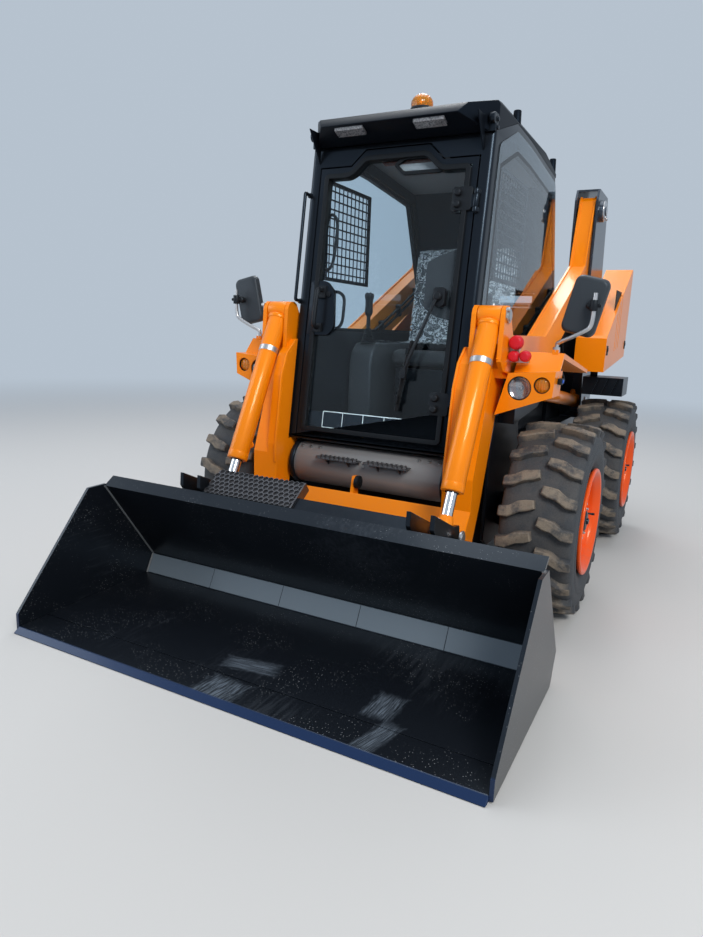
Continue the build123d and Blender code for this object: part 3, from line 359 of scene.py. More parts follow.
# %% Finishes
ORANGE = paint("orange_paint", (0.97, 0.255, 0.002), 0.34, sheen=(1, 0.62, 0.25))
RIM_ORANGE = paint("rim_paint", (0.86, 0.085, 0.004), 0.36, dust=0.3, sheen=(1, 0.6, 0.3))
BLACK = paint(
    "black_paint", (0.0055, 0.0065, 0.0085), 0.3, dust=0.05, peel=0.04, coat=0.04, sheen=(0.5, 0.72, 1),
    shine=0.32,
)
ROOF_BLACK = paint(
    "roof_paint", (0.0045, 0.006, 0.009), 0.42, dust=0.03, peel=0.04, coat=0.0, sheen=(0.4, 0.65, 1),
    shine=0.12,
)
DRUM = paint("drum_paint", (0.19, 0.192, 0.198), 0.4, dust=0.1, peel=0.12, coat=0.2)
TOWER_GREY = paint("tower_paint", (0.026, 0.031, 0.04), 0.3, dust=0.04, sheen=(0.5, 0.7, 1))
WELD = paint("weld_seam", (0.11, 0.12, 0.13), 0.5, dust=0.1, peel=0.4, coat=0.0)
# Pale blue-grey for the bucket's black sloping strip: a painted reflection of the sky.
SKY_REFLECTION_STRIP = paint("strip_painted_reflection", (0.135, 0.17, 0.205), 0.24, dust=0.05, coat=0.3, sheen=(0.7, 0.85, 1))

PLASTIC = plastic("cab_plastic", (0.008, 0.009, 0.011), 0.42)
GREY_PLASTIC = plastic("trim_plastic", (0.034, 0.036, 0.04), 0.55)
SEAL = plastic("rubber_seal", (0.0045, 0.005, 0.006), 0.55, scale=400.0, strength=0.15)
MIRROR_PLASTIC = plastic("mirror_plastic", (0.03, 0.036, 0.043), 0.4)
RED_CAP = plastic("red_caps", (0.5, 0.012, 0.022), 0.35, scale=500.0, strength=0.08)
TAIL_RED = plastic("tail_red", (0.42, 0.008, 0.01), 0.15, scale=300.0, strength=0.06)
HATCH_GREY = plastic("hatch_grey", (0.17, 0.165, 0.17), 0.5, strength=0.05)
HATCH_BROWN = plastic("hatch_brown", (0.06, 0.016, 0.01), 0.5, strength=0.05)
MOTOR_GREY = plastic("motor_grey", (0.022, 0.022, 0.024), 0.6)
CLIP_BLUE = plastic("connector_blue", (0.02, 0.09, 0.45), 0.4, strength=0.05)
LABEL_WHITE = plastic("label_white", (0.72, 0.72, 0.7), 0.4, strength=0.05)
VINYL = plastic("seat_vinyl", (0.04, 0.041, 0.044), 0.55, scale=700.0)
ROOF_LINER = plastic("roof_liner", (0.16, 0.165, 0.175), 0.8, strength=0.4)

CHROME = metal("rod_chrome", (0.8, 0.81, 0.83), 0.1)
ZINC = metal("zinc_plate", (0.55, 0.55, 0.56), 0.32)
STEEL = metal("dark_steel", (0.16, 0.16, 0.17), 0.42, dust=0.3)
IRON = metal("engine_iron", (0.1, 0.1, 0.105), 0.55, dust=0.3)
GLASS = clear("tinted_glass", (0.82, 0.91, 0.96), 0.02, 1.28)
LENS = clear("lamp_lens", (0.95, 0.96, 0.98), 0.03, 1.48)
REFLECTOR = finish("reflector", (0.36, 0.36, 0.37), 0.16, Metallic=1.0)[0]
MIRROR = finish("mirror_silver", (0.9, 0.92, 0.93), 0.02, Metallic=1.0)[0]
print("plain finishes:", len(bpy.data.materials))

# %% [markdown]
# The bucket's black paint is harder, and the first loads have marked it. It has fine scratches, pale grit
# and four rubbed patches near the lip; its navy lip is a painted reflection of the blue sky on the black
# paint. A patch is a box with a ragged rim, streaked along its length.

# %% The bucket's worn paint and painted lip reflection
# Each rubbed patch: centre x and y, turn in degrees, half width and half length
SCUFFS = (
    ((0.5, -1.515), -2, (0.05, 0.07)),
    ((0.545, -1.665), -14, (0.036, 0.085)),
    ((0.01, -1.525), 100, (0.04, 0.1)),
    ((0.01, -1.69), -4, (0.08, 0.065)),
)
BUCKET, tree, shader = finish(
    "bucket_paint", (0.006, 0.0075, 0.0105), 0.28, Coat_Weight=0.12, Coat_Roughness=0.12,
    Specular_IOR_Level=0.38, Specular_Tint=(0.62, 0.8, 1),
)
place = spot(tree)
marks = place_group(tree, SCRATCHES, Amount=0.35, Scale=12.0)["Mask"]
skin = place_group(tree, PEEL, Scale=120.0, Strength=0.08)


def scuff(tree, centre, turn, half):
    """How strongly a rubbed patch shows."""
    patch = add_node(
        tree, "Mapping", vector_type="TEXTURE", Vector=place, Location=(*centre, 0),
        Rotation=(0, 0, math.radians(turn)), Scale=(*half, 1),
    ).outputs["Vector"]
    reach = add_node(tree, "VectorMath", operation="ABSOLUTE")
    tree.links.new(patch, reach.inputs[0])
    across = add_node(tree, "SeparateXYZ", Vector=reach.outputs["Vector"]).outputs
    ragged = noisy(tree, patch, Scale=2.2, Detail=8.0, Roughness=0.75)
    rim = calc(tree, "ADD", calc(tree, "MAXIMUM", across["X"], across["Y"]), ragged)
    stretch = add_node(tree, "Mapping", Vector=patch, Scale=(7, 0.5, 1)).outputs["Vector"]
    streaks = noisy(tree, stretch, Scale=2.0, Detail=5.0, Roughness=0.6)
    inside = ranged(tree, rim, 1.0, 0.0, start=1.05, end=1.6)
    lines = ranged(tree, streaks, 0.05, 1.0, start=0.42, end=0.66)
    return calc(tree, "MULTIPLY", inside, lines, clamp=True)


# Fine pale specks of grit, thick in some places and missing in others
grit = add_node(tree, "TexVoronoi", Scale=110.0, Vector=place).outputs["Distance"]
where = noisy(tree, place, Scale=5.0, Detail=3.0)
specks = calc(
    tree, "MULTIPLY", ranged(tree, grit, 1.0, 0.0, start=0.08, end=0.17),
    ranged(tree, where, 0.0, 1.0, start=0.46, end=0.6), clamp=True,
)
rubbed = 0.0
for centre, turn, half in SCUFFS:
    rubbed = calc(tree, "MAXIMUM", rubbed, scuff(tree, centre, turn, half))
rubbed = ranged(tree, rubbed, 0.0, 0.75)
worn = blend(tree, marks, (0.0055, 0.007, 0.01), (0.04, 0.047, 0.058))
speckled = blend(tree, specks, worn, (0.3, 0.32, 0.34))
streaky = blend(tree, rubbed, speckled, (0.17, 0.21, 0.26))
along = add_node(tree, "SeparateXYZ", Vector=place).outputs["Y"]
# The navy band at the front lip is a painted reflection of the sky, not a paint of its own.
lip = ranged(tree, along, 1.0, 0.0, start=-1.738, end=-1.732)
blend(tree, lip, streaky, (0.005, 0.017, 0.062), shader["Base Color"])
ranged(tree, rubbed, 0.28, 0.6, shader["Roughness"])
tree.links.new(skin["Normal"], shader["Normal"])
print("bucket paint ready")

# %% [markdown]
# Indicator glass is ribbed, the lamp strips have dots, and the film on the seat is clear between its creases,
# whose pale lines are painted highlights.
# The tyres are matt rubber. Their lug faces carry dried brown mud, the grooves are bluish grey, and the
# sidewalls are nearly clean. An attribute on each tyre says how much a point belongs to the tread's
# outside, so the mud follows the lugs and turns with the wheel.

# %% Lamp glass, film and tyre rubber
AMBER, tree, shader = finish("amber_lens", (1.0, 0.4, 0.012), 0.08, Transmission_Weight=0.65, IOR=1.5)
ribs = add_node(tree, "TexWave", Scale=28.0, Distortion=0.0, Vector=spot(tree)).outputs["Fac"]
bumped(tree, ribs, 0.5, 0.002, shader["Normal"])

LED_FACE, tree, shader = finish("led_face", (0.42, 0.44, 0.47), 0.2, Coat_Weight=1.0)
dots = add_node(tree, "TexVoronoi", Scale=140.0, Vector=spot(tree)).outputs["Distance"]
blend(tree, dots, (0.3, 0.31, 0.33), (0.06, 0.06, 0.07), shader["Base Color"])

FILM, tree, shader = finish("clear_film", (0.8, 0.84, 0.88), 0.16)
creases = noisy(tree, spot(tree), Scale=24.0, Detail=5.0, Roughness=0.6, Distortion=1.4)
beside = calc(tree, "ABSOLUTE", calc(tree, "SUBTRACT", creases, 0.5))
# The pale, less clear lines along the creases are painted highlights on the film.
ranged(tree, beside, 0.85, 0.06, shader["Alpha"], end=0.035)
bumped(tree, creases, 0.8, 0.004, shader["Normal"])

RUBBER, tree, shader = finish("tyre_rubber", (0.02, 0.022, 0.025), 0.75)
tread = add_node(tree, "Attribute", attribute_name="tread").outputs["Fac"]
coarse = noisy(tree, spot(tree), Scale=14.0, Detail=8.0, Roughness=0.68)
fine = noisy(tree, spot(tree), Scale=170.0, Detail=5.0, Roughness=0.7)
mud = calc(tree, "MULTIPLY", ranged(tree, coarse, 0.1, 1.0, start=0.4, end=0.56), tread, clamp=True)
tone = blend(tree, fine, (0.009, 0.011, 0.014), (0.06, 0.07, 0.084))
earth = blend(tree, fine, (0.13, 0.105, 0.08), (0.27, 0.225, 0.175))
blend(tree, mud, tone, earth, shader["Base Color"])
bumped(tree, fine, 0.6, 0.0025, shader["Normal"])
print("all finishes:", len(bpy.data.materials))

# %% [markdown]
# Every new piece is made the same way: a bmesh grows from a simple shape, and becomes an object that
# rides on the body that carries it. These helpers hold the few moves that come back: a block, a round
# bar, a prism from an outline, a lathe profile, rounded edges, a pipe along a smooth line, a mirror image.

# %% Mesh helpers
SIDEWAYS, BACKWARD, UP = (1, 0, 0), (0, 1, 0), (0, 0, 1)
SAME_POINT = 1e-5


def vec(*numbers):
    """A vector from its numbers."""
    return Vector(numbers)


def only(kind, geometry):
    """The verts, edges or faces in an operator's result."""
    return [g for g in geometry if isinstance(g, kind)]


def flip(mesh, verts, faces):
    """Turn a part of a mesh into its mirror image on the machine's other side."""
    bmesh.ops.scale(mesh, vec=(-1, 1, 1), verts=verts)
    bmesh.ops.reverse_faces(mesh, faces=faces)


def piece(name, mesh, look, body="chassis", replaces=(), smooth=35, pair=False):
    """Turn a bmesh into a piece that rides on a body. A pair also gets its mirror image on the other side."""
    if pair:
        copy = bmesh.ops.duplicate(mesh, geom=mesh.verts[:] + mesh.edges[:] + mesh.faces[:])["geom"]
        flip(mesh, only(bmesh.types.BMVert, copy), only(bmesh.types.BMFace, copy))
    data = bpy.data.meshes.new(name)
    mesh.to_mesh(data)
    mesh.free()
    data.materials.append(look)
    data.shade_smooth()
    data.set_sharp_from_angle(angle=math.radians(smooth))
    made = bpy.data.objects.new(name, data)
    scene.collection.objects.link(made)
    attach(made, body)
    if replaces:
        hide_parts(*replaces)
    return made


def block(mesh, low, high):
    """A box between two corners."""
    size = [b - a for a, b in zip(low, high)]
    middle = [(a + b) / 2 for a, b in zip(low, high)]
    matrix = Matrix.Translation(middle) @ Matrix.Diagonal((*size, 1))
    return bmesh.ops.create_cube(mesh, size=1, matrix=matrix)["verts"]


def bar(mesh, start, end, radius, sides=32, end_radius=None):
    """A round bar, or a cone, from one point to another."""
    start, end = Vector(start), Vector(end)
    turn = (end - start).to_track_quat("Z", "Y").to_matrix().to_4x4()
    bmesh.ops.create_cone(
        mesh, cap_ends=True, segments=sides, depth=(end - start).length, radius1=radius,
        radius2=radius if end_radius is None else end_radius,
        matrix=Matrix.Translation((start + end) / 2) @ turn,
    )


def stud(mesh, start, length, radius, sides=6):
    """A bar that stands out sideways, such as a bolt head, a washer or a pin."""
    bar(mesh, start, Vector(start) + vec(length, 0, 0), radius, sides)


def prism(mesh, outline, low, high):
    """A closed prism from low to high along X, from an outline in Y and Z."""
    ring = [mesh.verts.new((low, y, z)) for y, z in outline]
    made = bmesh.ops.extrude_face_region(mesh, geom=[mesh.faces.new(ring)])
    bmesh.ops.translate(mesh, vec=(high - low, 0, 0), verts=only(bmesh.types.BMVert, made["geom"]))


def lathe(mesh, profile, centre, axis=SIDEWAYS, steps=64):
    """Spin a profile of (along, radius) points round an axis through a centre."""
    axis = Vector(axis).normalized()
    side = axis.orthogonal().normalized()
    centre = Vector(centre)
    line = [mesh.verts.new(centre + axis * along + side * radius) for along, radius in profile]
    edges = [mesh.edges.new(pair) for pair in zip(line[:-1], line[1:])]
    bmesh.ops.spin(
        mesh, geom=line + edges, cent=centre, axis=axis, angle=math.tau, steps=steps, use_merge=True
    )


def tidy(mesh):
    """Merge doubled points and turn every face outwards."""
    bmesh.ops.remove_doubles(mesh, verts=mesh.verts, dist=SAME_POINT)
    bmesh.ops.recalc_face_normals(mesh, faces=mesh.faces)


def turned(*shapes):
    """A mesh of lathe shapes, each with its profile, centre, axis and steps."""
    mesh = bmesh.new()
    for shape in shapes:
        lathe(mesh, *shape)
    tidy(mesh)
    return mesh


def round_edges(mesh, edges, width, segments, clamp=False):
    """Bevel some edges to a round."""
    bmesh.ops.bevel(
        mesh, geom=edges, offset=width, offset_type="OFFSET", affect="EDGES", segments=segments, profile=0.5,
        material=-1, clamp_overlap=clamp,
    )


def soften(mesh, width, segments=2, angle=30, verts=None):
    """Round every edge that is sharper than an angle, of all the mesh or of some of its points."""
    bmesh.ops.recalc_face_normals(mesh, faces=mesh.faces)
    chosen = set(verts or mesh.verts)
    whole = [e for e in mesh.edges if len(e.link_faces) == 2 and chosen.issuperset(e.verts)]
    sharp = [e for e in whole if e.calc_face_angle(0) > math.radians(angle)]
    round_edges(mesh, sharp, width, segments, clamp=True)


def pipe(mesh, points, radius, sides=8):
    """Add a round pipe along a smooth curve that starts and ends at its first and last point."""
    curve = bpy.data.curves.new("pipe", "CURVE")
    curve.dimensions = "3D"
    curve.bevel_depth = radius
    curve.bevel_resolution = sides // 2 - 1
    curve.use_fill_caps = True
    line = curve.splines.new("NURBS")
    line.points.add(len(points) - 1)
    for point, place in zip(line.points, points):
        point.co = (*place, 1)
    line.order_u = min(3, len(points))
    line.use_endpoint_u = True
    line.resolution_u = 6
    holder = bpy.data.objects.new("pipe", curve)
    made = bpy.data.meshes.new_from_object(holder)
    mesh.from_mesh(made)
    bpy.data.objects.remove(holder)
    bpy.data.curves.remove(curve)
    bpy.data.meshes.remove(made)


def move(mesh, matrix):
    """Carry a whole mesh to where a matrix puts it."""
    bmesh.ops.transform(mesh, matrix=matrix, verts=mesh.verts)


print("mesh helpers ready")

# %% [markdown]
# The wheels come first, because they say how big everything is. A skid-steer tyre has thick slanted
# lugs in two rows that meet near the middle, like a herringbone. The carcass is a lathe profile, and one lug
# is shaped on the flat: a kinked block with a draft, whose edges are rounded. It is bent round the tyre,
# copied twenty times for each row, and worn a little with noise, so that no two lugs look cut by a machine.

# %% Tyres
WHEEL_X, FRONT_Y, REAR_Y, AXLE_Z = 0.7325, -0.3685, 0.9715, 0.398
TYRE_RADIUS, CARCASS_RADIUS, LUGS = 0.398, 0.37, 20
WHEELS = [
    (f"{end}_{label}", y, side)
    for end, y in (("front", FRONT_Y), ("rear", REAR_Y)) for side, label in ((1, "left"), (-1, "right"))
]
# The section from one bead to the other: across from the middle, radius
CARCASS = [
    (0.113, 0.2075), (0.124, 0.213), (0.131, 0.226), (0.136, 0.243), (0.1395, 0.247), (0.1405, 0.254),
    (0.1445, 0.268), (0.1475, 0.285), (0.147, 0.3), (0.1455, 0.303), (0.145, 0.311), (0.1445, 0.33),
    (0.14, 0.352), (0.128, 0.364), (0.098, 0.3675), (0.05, 0.3695), (0.0, 0.37),
]
# One lug on the flat: across from the middle, along the tread
LUG = [
    (0.004, -0.008), (0.03, -0.022), (0.062, -0.03), (0.104, -0.058), (0.141, -0.062), (0.148, -0.058),
    (0.148, -0.018), (0.141, -0.012), (0.104, -0.006), (0.07, 0.02), (0.04, 0.027), (0.01, 0.03),
]


def lug_radius(across, height):
    """How far out a point is: the tread is nearly flat and falls off at the shoulder."""
    base = CARCASS_RADIUS - 0.006 * (across / 0.14) ** 4
    drop = max(0.0, across - 0.125) * 0.3
    return base + height * (TYRE_RADIUS - CARCASS_RADIUS) - (drop if height > 0.5 else 0.0)


def bend_lug(vert, side, middle_angle, seed):
    """Carry one point of a flat lug to its place on the tyre, a little worn."""
    across, along, height = abs(vert.co.x), vert.co.y, min(1.0, vert.co.z)
    if vert.co.z < 0.01:
        radius = lug_radius(across, 0) - 0.022
        across = min(across, 0.139)
    else:
        wear = noise.noise(vec(across * 30, along * 30, seed * 3.7))
        radius = lug_radius(across, height) - 0.0016 * abs(wear) - (0.0035 if height < 0.9999 else 0.0)
        along += 0.0022 * noise.noise(vec(across * 40 + seed, along * 40, 1.3))
    angle = middle_angle + along / TYRE_RADIUS
    vert.co = vec(side * across, -radius * math.sin(angle), -radius * math.cos(angle))
    return 1.0 if radius > 0.385 else 0.08


def add_lug(mesh, side, middle_angle, seed):
    """One lug, with drafted sides and rounded edges, bent round the tyre."""
    foot = [mesh.verts.new((side * a, b, 0)) for a, b in LUG]
    made = bmesh.ops.extrude_face_region(mesh, geom=[mesh.faces.new(foot)])
    top = only(bmesh.types.BMVert, made["geom"])
    centre = sum((v.co for v in top), Vector()) / len(top)
    for vert in top:
        vert.co = centre + (vert.co - centre) * vec(0.965, 0.86, 1) + vec(0, 0, 1)
    top = set(top)
    round_edges(mesh, [e for e in mesh.edges if top.issuperset(e.verts)], 0.0045, 1)
    lug, grow = set(foot), list(foot)
    while grow:
        for edge in grow.pop().link_edges:
            fresh = [v for v in edge.verts if v not in lug]
            lug.update(fresh)
            grow += fresh
    mark = mesh.verts.layers.float["tread"]
    for vert in lug:
        vert[mark] = bend_lug(vert, side, middle_angle, seed)


for name, y, side in WHEELS:
    mesh = bmesh.new()
    mark = mesh.verts.layers.float.new("tread")
    lathe(mesh, CARCASS + [(-a, r) for a, r in reversed(CARCASS[:-1])], (0, 0, 0), steps=120)
    bmesh.ops.remove_doubles(mesh, verts=mesh.verts, dist=SAME_POINT)
    for vert in mesh.verts:
        vert[mark] = 0.12 if math.hypot(vert.co.y, vert.co.z) > 0.355 else 0.03
    for row in (-1, 1):
        for number in range(LUGS):
            add_lug(mesh, row, (number + (row > 0) / 2) * math.tau / LUGS, number + 31 * row + 7 * y)
    if side < 0:
        bmesh.ops.rotate(mesh, verts=mesh.verts, cent=(0, 0, 0), matrix=Matrix.Rotation(math.pi, 3, "Z"))
    bmesh.ops.recalc_face_normals(mesh, faces=mesh.faces)
    move(mesh, Matrix.Translation((side * WHEEL_X, y, AXLE_Z)))
    count = len(mesh.faces)
    piece(f"lugged_tyre_{name}", mesh, RUBBER, f"wheel_{name}", (f"tyre_{name}",), 40)
print("faces on each tyre:", count)

# %% [markdown]
# CAD nodes whose shape is right stay. They get their finish here, and a chain of three modifiers that
# breaks their sharp edges: weld joins the loose triangles, dissolve makes flat faces whole again, and bevel
# rounds what is left, as bent sheet and sprayed paint do. Their meshes aren't touched.

# %% Finishes and eased edges for the CAD nodes
# Finish, width of the eased edge, nodes
LOOKS = (
    (ORANGE, 0.0025, "arms boom_cross_member lamp_boxes side_boxes"),
    (ORANGE, 0.0015, "lift_barrel_left lift_barrel_right tilt_barrel_left tilt_barrel_right"),
    (BLACK, 0.003, "axles chassis_tub engine_hood rear_bumper rear_door step_boxes"),
    (BLACK, 0.002, "door_frame fender_walls quick_hitch"),
    (ROOF_BLACK, 0.001, "window_guards"),
    (TOWER_GREY, 0.003, "towers"),
    (BUCKET, 0.003, "bucket_shell cutting_edge"),
    (DRUM, 0.003, "front_drum"),
    (ZINC, 0.001, "coupler_block"),
    (GLASS, 0.0, "door_glass rear_glass"),
    (LED_FACE, 0.0, "work_lamps"),
    (PLASTIC, 0.004, "seat_base"),
    (IRON, 0.004, "engine_block"),
)


def ease(node, width):
    """Round the edges of a CAD node without a change to its mesh."""
    weld = node.modifiers.new("weld", "WELD")
    weld.merge_threshold = SAME_POINT
    flat = node.modifiers.new("flat", "DECIMATE")
    flat.decimate_type = "DISSOLVE"
    flat.angle_limit = math.radians(1)
    edge = node.modifiers.new("edge", "BEVEL")
    edge.width = width
    edge.segments = 2
    edge.limit_method = "ANGLE"
    edge.angle_limit = math.radians(30)
    edge.harden_normals = True


for look, width, names in LOOKS:
    for name in names.split():
        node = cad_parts[name]
        node.data.materials.clear()
        node.data.materials.append(look)
        if width:
            ease(node, width)
print("nodes with a finish:", sum(len(names.split()) for look, width, names in LOOKS))

# %% [markdown]
# The rims in the CAD model have flat sides, to stay light. Here each is one smooth lathe profile: a rolled
# flange, the bead seat, the deep drop centre and a dish that carries the hub. Eight nuts hold each
# wheel on its hub, round a cap with a grease plug, and the valve stands in the dish.

# %% Rims, wheel nuts and hub caps
RIM_FRONT = [
    (0.1365, 0.219), (0.1395, 0.2215), (0.145, 0.2228), (0.15, 0.2215), (0.1525, 0.217), (0.152, 0.211),
    (0.148, 0.2065), (0.134, 0.198), (0.1275, 0.193), (0.118, 0.1912), (0.097, 0.1905), (0.0915, 0.187),
    (0.089, 0.178), (0.08, 0.118), (0.078, 0.104), (0.079, 0.097), (0.084, 0.0945), (0.093, 0.094),
    (0.0975, 0.0915), (0.1, 0.084), (0.102, 0.056), (0.1105, 0.05), (0.1105, 0.0),
]
RIM_BACK = [
    (0.0305, 0.0), (0.0305, 0.095), (0.0565, 0.095), (0.0665, 0.19), (-0.1325, 0.192), (-0.1445, 0.221),
    (-0.14, 0.2218), (-0.135, 0.2195), (-0.1225, 0.2043), (0.1225, 0.2043), (0.129, 0.2065), (0.1365, 0.219),
]
HUB_CAP = [
    (-0.002, 0.0), (-0.002, 0.046), (0.016, 0.044), (0.021, 0.04), (0.024, 0.03), (0.024, 0.014),
    (0.031, 0.012), (0.032, 0.0),
]
HUB_FACE, NUT_RING, NUTS = 0.8335, 0.0715, 8
for name, y, side in WHEELS:
    mesh = turned((RIM_FRONT, (0, 0, 0), SIDEWAYS, 96), (RIM_BACK, (0, 0, 0), SIDEWAYS, 96))
    if side < 0:
        bmesh.ops.rotate(mesh, verts=mesh.verts, cent=(0, 0, 0), matrix=Matrix.Rotation(math.pi, 3, "Z"))
    move(mesh, Matrix.Translation((side * WHEEL_X, y, AXLE_Z)))
    piece(f"dished_rim_{name}", mesh, RIM_ORANGE, f"wheel_{name}", (f"rim_{name}",), 50)
    nuts = bmesh.new()
    for number in range(NUTS):
        angle = (number + 0.3) * math.tau / NUTS
        along, up = NUT_RING * math.sin(angle), NUT_RING * math.cos(angle)
        stud(nuts, (0, along, up), 0.004, 0.015, 20)
        stud(nuts, (0.004, along, up), 0.013, 0.0125)
        bar(nuts, (0.017, along, up), (0.026, along, up), 0.0065, 12, 0.0055)
    soften(nuts, 0.0012, 1)
    move(nuts, Matrix.Translation((HUB_FACE, y, AXLE_Z)))
    cap = bmesh.new()
    lathe(cap, HUB_CAP, (HUB_FACE + 0.009, y, AXLE_Z), steps=40)
    bar(cap, (HUB_FACE - 0.008, y + 0.128, AXLE_Z), (HUB_FACE + 0.03, y + 0.136, AXLE_Z), 0.004, 12)
    bar(cap, (HUB_FACE + 0.03, y + 0.136, AXLE_Z), (HUB_FACE + 0.042, y + 0.1385, AXLE_Z), 0.0055, 12)
    tidy(cap)
    for label, mesh, look in (("wheel_nuts", nuts, ZINC), ("hub_cap", cap, BLACK)):
        if side < 0:
            flip(mesh, mesh.verts, mesh.faces)
        piece(f"{label}_{name}", mesh, look, f"wheel_{name}")
print("wheels done")

# %% [markdown]
# Flat parts come next, so one more helper makes a plate in XZ with rounded corners, or only its border.
# Things on the door are made flat, with y as the depth into the cab, and are then laid on the leaning door.

# %% Plates, and the door's plane
DOOR_LEAN, DOOR_FOOT_Y, DOOR_FOOT_Z = 0.14002, -0.7135, 0.655
slope = math.hypot(1, DOOR_LEAN)
DOOR = Matrix((
    (1, 0, 0, 0),
    (0, 1 / slope, DOOR_LEAN, DOOR_FOOT_Y - DOOR_LEAN * DOOR_FOOT_Z),
    (0, -DOOR_LEAN / slope, 1, 0),
    (0, 0, 0, 1),
))
# Swaps x and y, so that a plate in XZ stands on the machine's side
TO_SIDE = Matrix(((0, 1, 0, 0), (1, 0, 0, 0), (0, 0, 1, 0), (0, 0, 0, 1)))


def plate(mesh, outline, low, high, corner=0.0, border=0.0, segments=5):
    """A plate in XZ from low to high along Y; with a border, only a frame that wide stays."""
    ring = [mesh.verts.new((x, low, z)) for x, z in outline]
    face = mesh.faces.new(ring)
    if corner:
        made = bmesh.ops.bevel(
            mesh, geom=ring, offset=corner, affect="VERTICES", segments=segments, profile=0.5, material=-1
        )
        face = made["verts"][0].link_faces[0]
    faces = [face]
    if border:
        faces = bmesh.ops.inset_region(mesh, faces=[face], thickness=border, use_boundary=True)["faces"]
        bmesh.ops.delete(mesh, geom=[face], context="FACES_ONLY")
    top = only(bmesh.types.BMVert, bmesh.ops.extrude_face_region(mesh, geom=faces)["geom"])
    bmesh.ops.translate(mesh, vec=(0, high - low, 0), verts=top)


def box_outline(low_x, high_x, low_z, high_z):
    """The four corners of a rectangle."""
    return [(low_x, low_z), (high_x, low_z), (high_x, high_z), (low_x, high_z)]


def mirrored(half):
    """A symmetrical outline from its right half, listed from the bottom up."""
    return half + [(-x, z) for x, z in reversed(half)]


def on_door(name, mesh, look):
    """Lay a flat mesh on the door and make it a piece."""
    move(mesh, DOOR)
    piece(name, mesh, look, "door")


print("plate helpers ready")

# %% [markdown]
# The door's window is one big pane with a raised middle, held by a thick rubber seal. Under its top edge a
# second seal frames the hatch for a wiper arm, over a grey and a brown field. A dark printed band hides the
# glue at the bottom, and a blank label with four fields sits above it.

# %% Door seals, printed band, label and fields
LABEL_IN, LABEL_UP = 0.0148, 0.03
# Name, outline, start and end of its depth, corner, border, round of the edge with its segments, finish
DOOR_PLATES = (
    ("door_seal", mirrored([(0.326, 0.699), (0.326, 1.786), (0.206, 1.786), (0.142, 1.848)]),
     (-0.013, 0.03), 0.02, 0.02, (0.0055, 3), SEAL),
    ("hatch_seal", [(-0.012, 1.806), (0.034, 1.764), (0.198, 1.764), (0.242, 1.806),
      (0.206, 1.838), (0.03, 1.838)],
     (0.001, 0.012), 0.012, 0.014, (0.004, 2), SEAL),
    ("printed_band", box_outline(-0.306, 0.306, 0.716, 0.786), (0.0155, 0.016), 0.006, 0.0, None, BLACK),
    ("latch_plate", [(-0.345, 1.112), (-0.24, 1.112), (-0.214, 1.144), (-0.228, 1.3),
      (-0.268, 1.341), (-0.345, 1.341)],
     (-0.009, 0.0145), 0.012, 0.0, (0.002, 2), BLACK),
    ("wiper_motor_plate", [(0.312, 1.189), (0.312, 1.472), (0.23, 1.446), (0.179, 1.419),
      (0.181, 1.24), (0.24, 1.205)],
     (0.0145, 0.0185), 0.014, 0.0, (0.0012, 1), MOTOR_GREY),
    ("hatch_lower_field", [(0.0, 1.806), (0.038, 1.776), (0.192, 1.776), (0.226, 1.806),
      (0.222, 1.812), (0.006, 1.812)],
     (0.018, 0.021), 0.0, 0.0, None, HATCH_GREY),
    ("hatch_upper_field", [(-0.06, 1.812), (0.222, 1.812), (0.196, 1.84), (-0.09, 1.84)],
     (0.022, 0.025), 0.0, 0.0, None, HATCH_BROWN),
)
for name, outline, (low, high), corner, border, edge, look in DOOR_PLATES:
    mesh = bmesh.new()
    plate(mesh, outline, low, high, corner, border)
    if edge:
        soften(mesh, *edge)
    on_door(name, mesh, look)
mesh = bmesh.new()
plate(mesh, box_outline(-0.235, 0.16, 0.688, 0.76), -0.0005, 0.0, 0.006, 0.0032)
for x in (-0.136, -0.037, 0.062):
    plate(mesh, box_outline(x - 0.0014, x + 0.0014, 0.69, 0.758), -0.0005, 0.0)
bmesh.ops.translate(mesh, vec=(0, LABEL_IN, LABEL_UP), verts=mesh.verts)
on_door("blank_label_lines", mesh, LABEL_WHITE)
print("door glass dressed")

# %% [markdown]
# The door swings on two pairs of black clamps on its left, each with two round knobs. On its right sit
# the latch plate with its bar handle, and inside it the rounded loop to pull the door shut. The
# wiper hangs from a motor near the left edge: a bent arm, and a blade on a small yoke.

# %% Door clamps, handle and wiper
mesh = bmesh.new()
for height in (1.653, 0.861):
    plate(mesh, box_outline(0.262, 0.345, height - 0.045, height + 0.045), -0.014, 0.0145, 0.012)
    for knob in (height - 0.022, height + 0.022):
        profile = [(0.0, 0.015), (-0.012, 0.015), (-0.018, 0.011), (-0.018, 0.0)]
        lathe(mesh, profile, (0.288, -0.014, knob), BACKWARD, 20)
soften(mesh, 0.002, 2)
on_door("glass_clamps", mesh, PLASTIC)
mesh = bmesh.new()
pipe(mesh, [(-0.282, -0.008, 1.3), (-0.282, -0.032, 1.3), (-0.282, -0.054, 1.296), (-0.281, -0.058, 1.27),
            (-0.285, -0.058, 1.175), (-0.286, -0.054, 1.148), (-0.287, -0.032, 1.142),
            (-0.287, -0.008, 1.142)], 0.01, 12)
block(mesh, (-0.302, -0.022, 1.268), (-0.262, -0.008, 1.318))
block(mesh, (-0.305, -0.022, 1.124), (-0.268, -0.008, 1.16))
pipe(mesh, [(-0.25, -0.008, 1.285), (-0.25, -0.018, 1.285)], 0.011, 16)
on_door("door_handle", mesh, PLASTIC)
mesh = bmesh.new()
UPPER_LOOP = [(-0.334, 1.52), (-0.333, 1.61), (-0.318, 1.636), (-0.294, 1.634), (-0.274, 1.6), (-0.274, 1.5),
              (-0.28, 1.425), (-0.296, 1.402), (-0.318, 1.4), (-0.336, 1.426), (-0.335, 1.47)]
